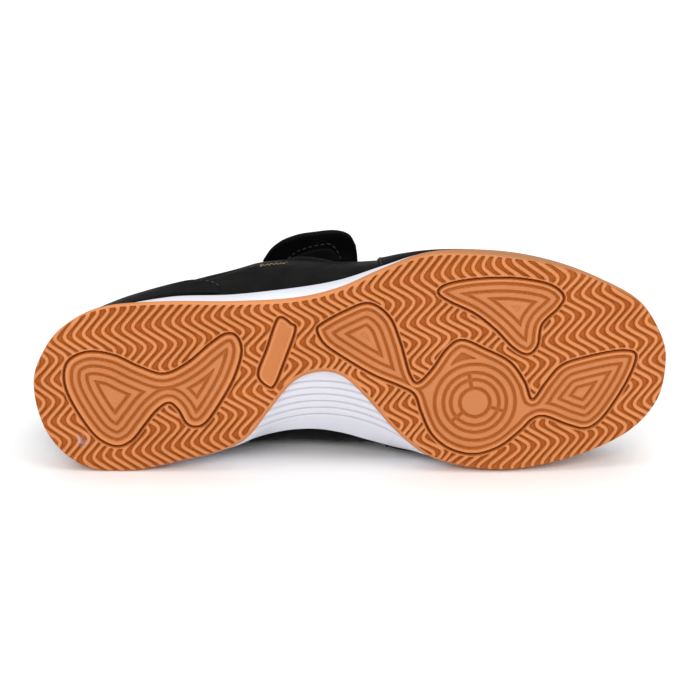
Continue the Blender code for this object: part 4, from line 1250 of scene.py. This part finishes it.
# %% Tongue
TONGUE_ROWS = (
    (146.0, 0.0, 47.0, 13.0, 2.5), (136.0, 0.2, 50.5, 15.5, 3.5), (124.0, 0.6, 55.0, 17.0, 4.6),
    (110.0, 1.1, 60.0, 18.0, 5.6), (97.0, 2.0, 64.5, 17.0, 6.2), (88.0, 2.7, 69.0, 14.5, 6.4),
    (80.0, 3.1, 75.0, 13.0, 8.6), (75.0, 3.3, 82.0, 12.5, 7.4), (72.0, 3.4, 88.0, 11.0, 6.0),
)
TONGUE = 3.5
TONGUE_THINNING = 0.55
TONGUE_ALONG, TONGUE_ACROSS = 110, 56
CHANNEL_COUNT = 7
QUILT_HEIGHT, QUILT_SINK, QUILT_END, QUILT_FADE = 0.5, 0.3, 0.97, 0.1
tongue_at = spline([row[0] for row in TONGUE_ROWS][::-1], [row[1:] for row in TONGUE_ROWS][::-1])


def make_tongue():
    along = np.array([row[0] for row in TONGUE_ROWS])
    fine = np.interp(np.linspace(0, len(along) - 1, TONGUE_ALONG), range(len(along)), along)
    side = np.linspace(-1, 1, TONGUE_ACROSS)
    xx, ss = np.meshgrid(fine, side, indexing="ij")
    y, z, half, droop = np.moveaxis(tongue_at(xx), -1, 0)
    run = np.linspace(0, 1, TONGUE_ALONG)[:, None] + 0 * ss
    pad = np.abs(np.sin(math.pi * CHANNEL_COUNT * run))**0.5 * (1 - ss**4)
    quilt = QUILT_HEIGHT * (pad * np.clip((QUILT_END - run) / QUILT_FADE, 0, 1)) - QUILT_SINK
    thin = TONGUE * (1 - TONGUE_THINNING * ss**2)
    outer = np.stack([xx, y + half * ss, z - droop * ss**2 + quilt], -1)
    inner = np.stack([xx, y + half * ss, z - droop * ss**2 - thin], -1)
    return slab_piece("padded_tongue", outer, inner, tongue_cloth, 60)


tongue = make_tongue()

# %% [markdown]
# The insole is a stack of rings: the last's outline, drawn in towards a spine and raised at its edge.

# %% Insole
INSOLE, INSOLE_GAP = 2.8, 1.3
INSOLE_TOP = INSOLE + GAP
INSOLE_RINGS = ((1.0, GAP), (1.0, INSOLE_TOP + 0.3), (0.96, INSOLE_TOP + 0.7), (0.9, INSOLE_TOP),
                (0.7, INSOLE_TOP - 0.3), (0.4, INSOLE_TOP - 0.4))
INSOLE_AROUND = 260
SPINE_ENDS, SPINE_SIDE = (22, 205), 3.0


def make_insole():
    count = INSOLE_AROUND
    t = np.arange(count) * ROUND / count
    foot = shell_point(t, np.zeros(count), np.full(count, UPPER_WALL + INSOLE_GAP))[:, :2]
    spine = np.column_stack([np.clip(foot[:, 0], *SPINE_ENDS), np.full(count, SPINE_SIDE)])
    rings = []
    for share, lift in INSOLE_RINGS:
        flat = spine + (foot - spine) * share
        rings.append(flat_and_z(flat, bed(flat[:, 0]) + lift))
    faces = list(strip_faces(len(rings), count, closed=True))
    points = np.concatenate(rings)
    for first in (0, (len(rings) - 1) * count):
        faces.extend(cap_faces(points, first, count))
    return new_piece("insole_bed", points, faces, lining, 50)


insole = make_insole()
print("tongue", triangles_of(tongue), "insole", triangles_of(insole), "triangles")

# %% [markdown]
# One wide strap closes the shoe. It is sewn down on the inner side, passes over the tongue and ends in a
# rounded tab that stands a little off the outer side. The tab's outline comes from how much shorter the
# strap is at each place across its width.

# %% Strap
STRAP, STRAP_GAP, STRAP_REST = 2.2, 0.5, 0.9
STRAP_BACK, STRAP_FRONT = 81.0, 117.0
STRAP_TIP = (-36.0, 60.0)
STRAP_SAG = 1.4
STRAP_STATIONS = (0.0, 0.07, 0.16, 0.32, 0.55, 0.80, 0.87, 0.92, 0.955, 0.984, 1.0)
STRAP_SHORT = (0.60, 0.40, 0.25, 0.11, 0.025, 0.0, 0.03, 0.085, 0.18, 0.36, 0.77)
OUTER_THROAT, INNER_THROAT = (5.4, 8.0), (30.0, 24.6)
SEWN_RISES = np.linspace(0.58, 0.96, 30)
TAB_POINTS, SEARCH_POINTS = 40, 400
STRAP_ROLL = 1.0
short_at = spline(STRAP_STATIONS, [[value] for value in STRAP_SHORT])


def place_with_top(ends, x):
    """The place between two ends whose topline lies at x."""
    places = np.linspace(ends[0], ends[1], SEARCH_POINTS)
    tops = upper_at(places)[:, 2]
    order = np.argsort(tops)
    return np.interp(x, tops[order], places[order])


def parabola(start, middle, end, u):
    control = 2 * middle - (start + end) / 2
    u = u[:, None]
    return start * (1 - u)**2 + control * 2 * u * (1 - u) + end * u**2


def strap_line(x, short):
    """The strap's lower face at x, from its sewn end to its free end."""
    inner_place = place_with_top(INNER_THROAT, x)
    outer_place = place_with_top(OUTER_THROAT, x)
    sewn = shell_point(inner_place, SEWN_RISES, -STRAP_GAP)
    start = shell_point(inner_place, 1.0, -STRAP_GAP)
    end = shell_point(outer_place, 1.0, -STRAP_GAP)
    tongue_y, tongue_z, _, _ = tongue_at(np.array(x))
    steps = np.linspace(0, 1, TAB_POINTS)
    arch = parabola(start, np.array([x, tongue_y, tongue_z + STRAP_REST]), end, steps)
    tip = np.array([x, *STRAP_TIP])
    tip = end + (tip - end) * (1 - short)
    bend = (end + tip) / 2 + np.array([0, 0, STRAP_SAG * (1 - short)])
    tab = parabola(end, bend, tip, steps[1:])
    return np.concatenate([sewn, arch, tab])


def strap_grid(stations, lift):
    """Lines of the strap at stations across it, lifted off its lower face."""
    lines = []
    for share in stations:
        line = strap_line(STRAP_BACK + (STRAP_FRONT - STRAP_BACK) * share, float(short_at(share)[0]))
        way = np.gradient(line, axis=0)
        normal = unit(np.stack([0 * way[:, 0], way[:, 2], -way[:, 1]], -1))
        lines.append(line + normal * lift)
    return np.array(lines)


def make_strap():
    stations = np.concatenate([[0, 0.006, 0.016], np.linspace(0.03, 0.97, 54), [0.984, 0.994, 1]])
    outer = strap_grid(stations, STRAP)
    inner = strap_grid(stations, 0.0)
    middle = (outer + inner) / 2
    rows, columns = outer.shape[:2]
    across = np.minimum(stations, 1 - stations)[:, None] * (STRAP_FRONT - STRAP_BACK)
    tip = np.linalg.norm(outer - outer[:, -1:], axis=-1)
    foot = np.linalg.norm(outer - outer[:, :1], axis=-1)
    rim = np.minimum(np.minimum(across + np.zeros((rows, columns)), tip), foot)
    share = (THIN_RIM + (1 - THIN_RIM) * rolled(rim, STRAP_ROLL))[..., None]
    return slab_piece("closing_strap", middle + (outer - middle) * share, middle + (inner - middle) * share,
                      leather, 70)


strap = make_strap()
print("strap", triangles_of(strap), "triangles")

# %% [markdown]
# The tape lies under the tab, inside a row of stitches that follows the tab's round end. Both read one
# table of places, across the strap and along its free end, so they stay together when the strap changes.

# %% Hook tape under the tab
TAB_STITCHES = ((0.12, 0.16), (0.19, 0.42), (0.32, 0.66), (0.46, 0.75), (0.60, 0.79), (0.71, 0.78),
                (0.76, 0.71), (0.80, 0.60), (0.83, 0.46), (0.85, 0.20))
STITCH_PLACES, STITCH_REACHES = zip(*TAB_STITCHES)


def strap_path(points, lift):
    """A line on the strap through (station, share of the free tab's length) pairs."""
    path = []
    for station, share in points:
        line = strap_line(STRAP_BACK + (STRAP_FRONT - STRAP_BACK) * station, float(short_at(station)[0]))
        index = len(line) - TAB_POINTS + share * (TAB_POINTS - 1)
        low = int(min(max(index, 0), len(line) - 2))
        point = line[low] + (line[low + 1] - line[low]) * (index - low)
        way = line[low + 1] - line[low]
        normal = unit(np.array([0, way[2], -way[1]]))
        path.append(point + normal * lift)
    return np.array(path)


TAPE_LIFT, TAPE_BODY = -0.15, 0.66
TAPE_SPAN = (0.20, 0.80)
TAPE_ROWS, TAPE_COLUMNS = 30, 40
TAPE_MARGIN = 0.07
TAPE_ROOT = 0.03


def tape_reach(station):
    """How far the tape goes up the tab at a station: it stays inside the row of stitches."""
    return np.interp(station, STITCH_PLACES, STITCH_REACHES) - TAPE_MARGIN


def tape_grid(lift, rows=TAPE_ROWS, columns=TAPE_COLUMNS):
    """Points under the tab, from near its root up to the stitches."""
    grid = [strap_path([(float(s), float(u)) for u in np.linspace(TAPE_ROOT, tape_reach(s), rows)], lift)
            for s in np.linspace(TAPE_SPAN[0], TAPE_SPAN[1], columns)]
    return np.array(grid)


hook_tape = slab_piece("hook_tape", tape_grid(TAPE_LIFT), tape_grid(TAPE_LIFT - TAPE_BODY), tape, 60)
print("hook tape", triangles_of(hook_tape), "triangles")

# %% [markdown]
# Stitches are the same small loop over and over along a line, which is what Geometry Nodes are for. The
# tree takes a line, sets points on it at even steps and puts one short rounded stitch on each, turned
# along the line. Its inputs are the pitch, the stitch's length and the thread's thickness.

# %% A tree that sews
STITCH_PITCH, STITCH_LENGTH, THREAD_WIDTH = 0.0024, 0.0018, 0.00042


def input_names(tree):
    return {item.name: item.identifier for item in tree.interface.items_tree if item.in_out == "INPUT"}


def new_tree(name, carrier, sizes, cloth, output):
    """A tree with named inputs for a line or points, for sizes in metres and for a material."""
    tree = bpy.data.node_groups.new(name, "GeometryNodeTree")
    tree.interface.new_socket(carrier, in_out="INPUT", socket_type="NodeSocketGeometry")
    for label, value in sizes.items():
        socket = tree.interface.new_socket(label, in_out="INPUT", socket_type="NodeSocketFloat")
        socket.default_value = value
    tree.interface.new_socket(cloth, in_out="INPUT", socket_type="NodeSocketMaterial")
    tree.interface.new_socket(output, in_out="OUTPUT", socket_type="NodeSocketGeometry")
    return tree, tree.nodes.new("NodeGroupInput").outputs, tree.nodes.new("NodeGroupOutput").inputs


def hand_out(tree, made, cloth, output):
    """Makes the instances real, gives them their material and sends them to the tree's output."""
    real = add_node(tree, "GeometryNodeRealizeInstances", Geometry=made)
    dye = add_node(tree, "GeometryNodeSetMaterial", Geometry=real.outputs["Geometry"], Material=cloth)
    tree.links.new(dye.outputs["Geometry"], output)


def make_sewing_tree():
    sizes = {"Pitch": STITCH_PITCH, "Stitch Length": STITCH_LENGTH, "Thread Width": THREAD_WIDTH}
    tree, given, result = new_tree("sew_along_line", "Line", sizes, "Thread", "Stitches")
    curve = add_node(tree, "GeometryNodeMeshToCurve", Mesh=given["Line"])
    steps = tree.nodes.new("GeometryNodeResampleCurve")
    steps.mode = "LENGTH"
    tree.links.new(curve.outputs["Curve"], steps.inputs["Curve"])
    tree.links.new(given["Pitch"], steps.inputs["Length"])
    tangent = tree.nodes.new("GeometryNodeInputTangent")
    aim = tree.nodes.new("FunctionNodeAlignRotationToVector")
    aim.axis = "Z"
    tree.links.new(tangent.outputs["Tangent"], aim.inputs["Vector"])
    ball = add_node(tree, "GeometryNodeMeshUVSphere", Segments=6, Rings=4, Radius=0.5)
    size = add_node(tree, "ShaderNodeCombineXYZ", X=given["Thread Width"], Y=given["Thread Width"],
                    Z=given["Stitch Length"])
    spread = add_node(tree, "GeometryNodeInstanceOnPoints", Points=steps.outputs["Curve"],
                      Instance=ball.outputs["Mesh"], Rotation=aim.outputs["Rotation"],
                      Scale=size.outputs["Vector"])
    hand_out(tree, spread.outputs["Instances"], given["Thread"], result["Stitches"])
    return tree


sewing_tree = make_sewing_tree()


def grown(name, points, edges, tree, values, material):
    """Runs a tree on a line of points and keeps the result as a plain mesh."""
    mesh = bpy.data.meshes.new(name + "_line")
    mesh.from_pydata(laid(points).tolist(), edges, [])
    carrier = bpy.data.objects.new(name + "_line", mesh)
    bpy.context.scene.collection.objects.link(carrier)
    modifier = carrier.modifiers.new("tree", "NODES")
    modifier.node_group = tree
    names = input_names(tree)
    for label, value in values.items():
        modifier[names[label]] = value
    graph = bpy.context.evaluated_depsgraph_get()
    result = bpy.data.meshes.new_from_object(carrier.evaluated_get(graph))
    result.name = name
    result.shade_smooth()
    bpy.data.objects.remove(carrier)
    if not result.materials:
        result.materials.append(material)
    piece = bpy.data.objects.new(name, result)
    bpy.context.scene.collection.objects.link(piece)
    return piece


def sew(name, lines, pitch=STITCH_PITCH, length=STITCH_LENGTH, width=THREAD_WIDTH, material=None):
    """Stitches along one or more lines of points."""
    points, edges = [], []
    for line in lines:
        first = len(points)
        points.extend(line)
        edges.extend((first + i, first + i + 1) for i in range(len(line) - 1))
    material = material or thread
    values = {"Pitch": pitch, "Stitch Length": length, "Thread Width": width, "Thread": material}
    piece = grown(name, points, edges, sewing_tree, values, material)
    print(name, len(piece.data.polygons), "faces")
    return piece


# %% [markdown]
# The seams follow the panels' edges, the topline and the strap. Each is a line of points just above the
# wall, handed to the tree.

# %% Seams
PANEL_STITCH_LIFT = COVER_GAP * 0.5 + COVER - 0.06
PANEL_ENDS = (0.004, 0.996)
COUNTER_INSET, GUARD_INSETS = 0.035, (0.03, 0.065)
TOPLINE_POINTS, TOPLINE_RISE, TOPLINE_LIFT = 400, 0.955, 0.25
SEAM_PLACE, SEAM_LEAN, SEAM_STEP, SEAM_LIFT = 4.05, 0.25, 0.14, 0.2


def wall_line(places, rises, lift):
    return shell_point(np.asarray(places), np.asarray(rises), -lift)


def panel_edge(ends, height, inset, lift, low=COVER_LOW):
    """A line just inside a panel's edge: up one end, along its top and down the other."""
    first, last = snapped(ends)
    u = np.linspace(*PANEL_ENDS, 160)
    places = first + (last - first) * u
    top = wall_line(places, height(u) - inset, lift)
    sides = []
    for share in PANEL_ENDS:
        rises = np.linspace(low + 0.02, float(height(np.array(share))) - inset, 24)
        sides.append(wall_line(np.full(24, first + (last - first) * share), rises, lift))
    return sides, top


_, counter_top = panel_edge(COUNTER_PLACES, counter_height, COUNTER_INSET, PANEL_STITCH_LIFT)
guard_sides, guard_top = panel_edge(GUARD_PLACES, guard_height, GUARD_INSETS[0], PANEL_STITCH_LIFT)
_, second_top = panel_edge(GUARD_PLACES, guard_height, GUARD_INSETS[1], PANEL_STITCH_LIFT)
counter_stitches = sew("heel_counter_stitches", [counter_top])
guard_stitches = sew("toe_guard_stitches", [guard_top, second_top] + guard_sides)

around = np.linspace(0, ROUND, TOPLINE_POINTS)
topline_stitches = sew("topline_stitches", [wall_line(around, TOPLINE_RISE, TOPLINE_LIFT)])

seam_rises = np.linspace(0.06, 0.93, 50)
quarter_seam = [wall_line(SEAM_PLACE + SEAM_LEAN * seam_rises + shift, seam_rises, SEAM_LIFT)
                for shift in (0.0, SEAM_STEP)]
seam_stitches = sew("quarter_seam_stitches", quarter_seam)

# %% Strap stitches
OUTER_LIFT, UNDER_LIFT = STRAP + 0.05, -0.1

stitch_reach = spline(STITCH_PLACES, [[reach] for reach in STITCH_REACHES])
stitch_stations = np.linspace(STITCH_PLACES[0], STITCH_PLACES[-1], 60)
tab_path = [(float(s), float(stitch_reach(s)[0])) for s in stitch_stations]
tab_line = strap_path(tab_path, OUTER_LIFT)
under_line = strap_path(tab_path, UNDER_LIFT)
edge_lines = []
for station in (0.07, 0.93):
    whole = strap_grid([station], OUTER_LIFT)[0]
    edge_lines.append(whole[2:-8])
strap_stitches = sew("strap_stitches", [tab_line, under_line] + edge_lines)

# %% [markdown]
# A few yellow thread ends lie beside the strap: a short, wavy row of smaller stitches in their own colour.

# %% Dry yellow thread ends beside the strap
LOOSE_PITCH, LOOSE_LENGTH, LOOSE_WIDTH = 0.0017, 0.0009, 0.00024

loose_x = np.linspace(75.5, 89.5, 60)
loose_places = np.array([place_with_top(OUTER_THROAT, x) for x in loose_x])
loose_rises = 0.335 + 0.012 * np.sin(loose_x * 2.9) + 0.008 * np.sin(loose_x * 7.1)
loose_line = wall_line(loose_places, loose_rises, 0.12)
loose_ends = sew("yellow_thread_ends", [loose_line], LOOSE_PITCH, LOOSE_LENGTH, LOOSE_WIDTH,
                 yellow_thread)

# %% [markdown]
# A soft binding closes the topline, where leather and lining meet. It is a rounded strip that follows the
# topline all the way round, so a profile is swept along that line, again by a tree.

# %% Binding of the topline
BINDING_RADIUS = 0.0013


def make_binding_tree():
    tree, given, result = new_tree("bind_along_line", "Line", {"Radius": BINDING_RADIUS}, "Cloth", "Binding")
    curve = add_node(tree, "GeometryNodeMeshToCurve", Mesh=given["Line"])
    ring = add_node(tree, "GeometryNodeCurvePrimitiveCircle", Resolution=12, Radius=given["Radius"])
    sweep = tree.nodes.new("GeometryNodeCurveToMesh")
    tree.links.new(curve.outputs["Curve"], sweep.inputs["Curve"])
    tree.links.new(ring.outputs["Curve"], sweep.inputs["Profile Curve"])
    hand_out(tree, sweep.outputs["Mesh"], given["Cloth"], result["Binding"])
    return tree


binding_places = np.arange(TOPLINE_POINTS) * ROUND / TOPLINE_POINTS
binding_line = shell_point(binding_places, 0.995, UPPER_WALL / 2)
binding_edges = [(i, (i + 1) % TOPLINE_POINTS) for i in range(TOPLINE_POINTS)]
binding = grown("topline_binding", binding_line, binding_edges, make_binding_tree(),
                {"Radius": BINDING_RADIUS, "Cloth": lining}, lining)
print("binding", len(binding.data.polygons), "faces")

# %% [markdown]
# The hook side of the tape is a field of tiny hooks in rows. Each is a small tapered peg, leant and turned
# at random, and a tree sets one on every point of a grid under the tab.

# %% Hooks
HOOK_HEIGHT, HOOK_WIDTH = 0.0009, 0.00035
HOOK_ROWS, HOOK_COLUMNS, HOOK_STAND = 18, 34, 0.3
HOOK_LEAN, HOOK_TURN, HOOK_SEED = 0.4, 6.2, 7


def make_hook_tree():
    sizes = {"Height": HOOK_HEIGHT, "Width": HOOK_WIDTH}
    tree, given, result = new_tree("hooks_on_points", "Points", sizes, "Tape", "Hooks")
    points = add_node(tree, "GeometryNodeMeshToPoints", Mesh=given["Points"])
    peg = add_node(tree, "GeometryNodeMeshCone", Vertices=5, Radius_Top=0.25, Radius_Bottom=0.5, Depth=1.0)
    size = add_node(tree, "ShaderNodeCombineXYZ", X=given["Width"], Y=given["Width"], Z=given["Height"])
    turn_by = tree.nodes.new("FunctionNodeRandomValue")
    turn_by.data_type = "FLOAT_VECTOR"
    turn_by.inputs["Min"].default_value = (-HOOK_LEAN, -HOOK_LEAN, 0.0)
    turn_by.inputs["Max"].default_value = (HOOK_LEAN, HOOK_LEAN, HOOK_TURN)
    turn_by.inputs["Seed"].default_value = HOOK_SEED
    spread = add_node(tree, "GeometryNodeInstanceOnPoints", Points=points.outputs["Points"],
                      Instance=peg.outputs["Mesh"], Rotation=turn_by.outputs["Value"],
                      Scale=size.outputs["Vector"])
    hand_out(tree, spread.outputs["Instances"], given["Tape"], result["Hooks"])
    return tree


hook_grid = tape_grid(TAPE_LIFT - TAPE_BODY - HOOK_STAND, HOOK_ROWS, HOOK_COLUMNS)
hook_points = hook_grid[1:-1, 1:-1].reshape(-1, 3)
hooks = grown("tape_hooks", hook_points, [], make_hook_tree(),
              {"Height": HOOK_HEIGHT, "Width": HOOK_WIDTH, "Tape": tape}, tape)
print("hooks", len(hooks.data.polygons), "faces")

# %% [markdown]
# The floor, the lights and the camera. The photograph is a bright studio picture with soft light from all
# sides, so the floor is pale and the lamps are large. The camera stands where the photograph's did: it
# looks at the sole from a little to the outer side, from nearly a metre away, through a long lens.

# %% Camera
VIEW_TILT = math.radians(18.6)
VIEW_DISTANCE = 950.0
FOCAL_LENGTH, SENSOR_WIDTH = 136.45, 36.0
PHOTO_SIZE = 700.0
AIM_PIXEL = (350.7, 374.7)

middle = Vector((LENGTH / 2, 0, 0))
eye = middle + VIEW_DISTANCE * Vector((0, -math.sin(VIEW_TILT), -math.cos(VIEW_TILT)))
picture_up = Vector((0, -math.cos(VIEW_TILT), math.sin(VIEW_TILT)))
look = (middle - eye).normalized()
across_picture = look.cross(picture_up)
camera_turn = LAY.to_3x3() @ Matrix((across_picture, picture_up, -look)).transposed()
camera_turn = Matrix([row.normalized() for row in camera_turn.transposed()]).transposed()
camera = bpy.data.objects.new("camera", bpy.data.cameras.new("camera"))
camera.matrix_world = Matrix.Translation(LAY @ eye) @ camera_turn.to_4x4()
camera.data.lens = FOCAL_LENGTH
camera.data.sensor_width = SENSOR_WIDTH
camera.data.shift_x = (PHOTO_SIZE / 2 - AIM_PIXEL[0]) / PHOTO_SIZE
camera.data.shift_y = (AIM_PIXEL[1] - PHOTO_SIZE / 2) / PHOTO_SIZE
camera.data.clip_start = 0.01
bpy.context.scene.collection.objects.link(camera)
bpy.context.scene.camera = camera
print("camera at", [round(value, 3) for value in camera.location])

# %% [markdown]
# The floor is a plain sheet that belongs to the stage and not to the shoe. Three large lamps aim at the
# shoe, and an even world fills the shadows.

# %% Floor and lights
FLOOR_HALF = 4.0
LAMP_AIM = (0, 0, 0.04)
LAMPS = (
    ("front_softbox", (-0.35, -1.3, 0.9), (1.2, 0.8), 11.0),
    ("right_softbox", (1.1, -0.7, 0.8), (0.8, 0.8), 6.0),
    ("top_softbox", (0.0, 0.25, 1.7), (2.2, 2.0), 24.0),
)
WORLD_LIGHT = 0.45


def make_floor():
    mesh = bpy.data.meshes.new("floor")
    half = FLOOR_HALF
    corners = [(-half, -half, 0), (half, -half, 0), (half, half, 0), (-half, half, 0)]
    mesh.from_pydata(corners, [], [(0, 1, 2, 3)])
    floor = bpy.data.objects.new("floor", mesh)
    bpy.context.scene.collection.objects.link(floor)
    material, _, _ = new_material("pale_floor", grey(0.96), 0.75)
    mesh.materials.append(material)


def add_lamp(name, place, size, power):
    lamp = bpy.data.lights.new(name, "AREA")
    lamp.shape = "RECTANGLE"
    lamp.size, lamp.size_y = size
    lamp.energy = power
    thing = bpy.data.objects.new(name, lamp)
    thing.location = place
    thing.rotation_euler = (Vector(LAMP_AIM) - Vector(place)).to_track_quat("-Z", "Y").to_euler()
    bpy.context.scene.collection.objects.link(thing)


make_floor()
for lamp_row in LAMPS:
    add_lamp(*lamp_row)
world = bpy.data.worlds.new("studio")
world.use_nodes = True
background = world.node_tree.nodes["Background"]
background.inputs["Color"].default_value = (1, 1, 1, 1)
background.inputs["Strength"].default_value = WORLD_LIGHT
bpy.context.scene.world = world
bpy.context.scene.view_settings.view_transform = "Standard"
print("lamps:", len(LAMPS))

# %% [markdown]
# Last, each piece is hung on the shoe's one body, and the solid that it stands for is hidden. Then the
# triangles of all shown pieces are counted.

# %% Hang the pieces on the frame
DRESS = (
    ("outsole", "gum_rubber", tread_pieces + [gum_wall]),
    ("midsole", "white_foam", [wedge]),
    ("upper", "black_synthetic", [leather_skin]),
    ("upper", "lining", [lining_skin]),
    ("heel_counter", "black_synthetic", [counter]),
    ("toe_guard", "black_synthetic", [guard]),
    ("quarter_loop_patch", "hook_and_loop_tape", [loop_patch]),
    ("tongue", "lining", [tongue]),
    ("insole", "lining", [insole]),
    ("strap", "black_synthetic", [strap]),
    ("strap_hook_patch", "hook_and_loop_tape", [hook_tape]),
)
EXTRAS = (
    ("black_synthetic", [counter_stitches, guard_stitches, topline_stitches, seam_stitches, strap_stitches,
                         loose_ends]),
    ("lining", [binding]),
    ("hook_and_loop_tape", [hooks]),
)
for node, slot, group in DRESS:
    for piece in group:
        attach(piece, "root")
        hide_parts(node)
for slot, group in EXTRAS:
    for piece in group:
        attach(piece, "root")

shown = [thing for thing in bpy.data.objects if thing.type == "MESH" and thing.name != "floor"]
print("triangles in all:", sum(triangles_of(thing) for thing in shown))
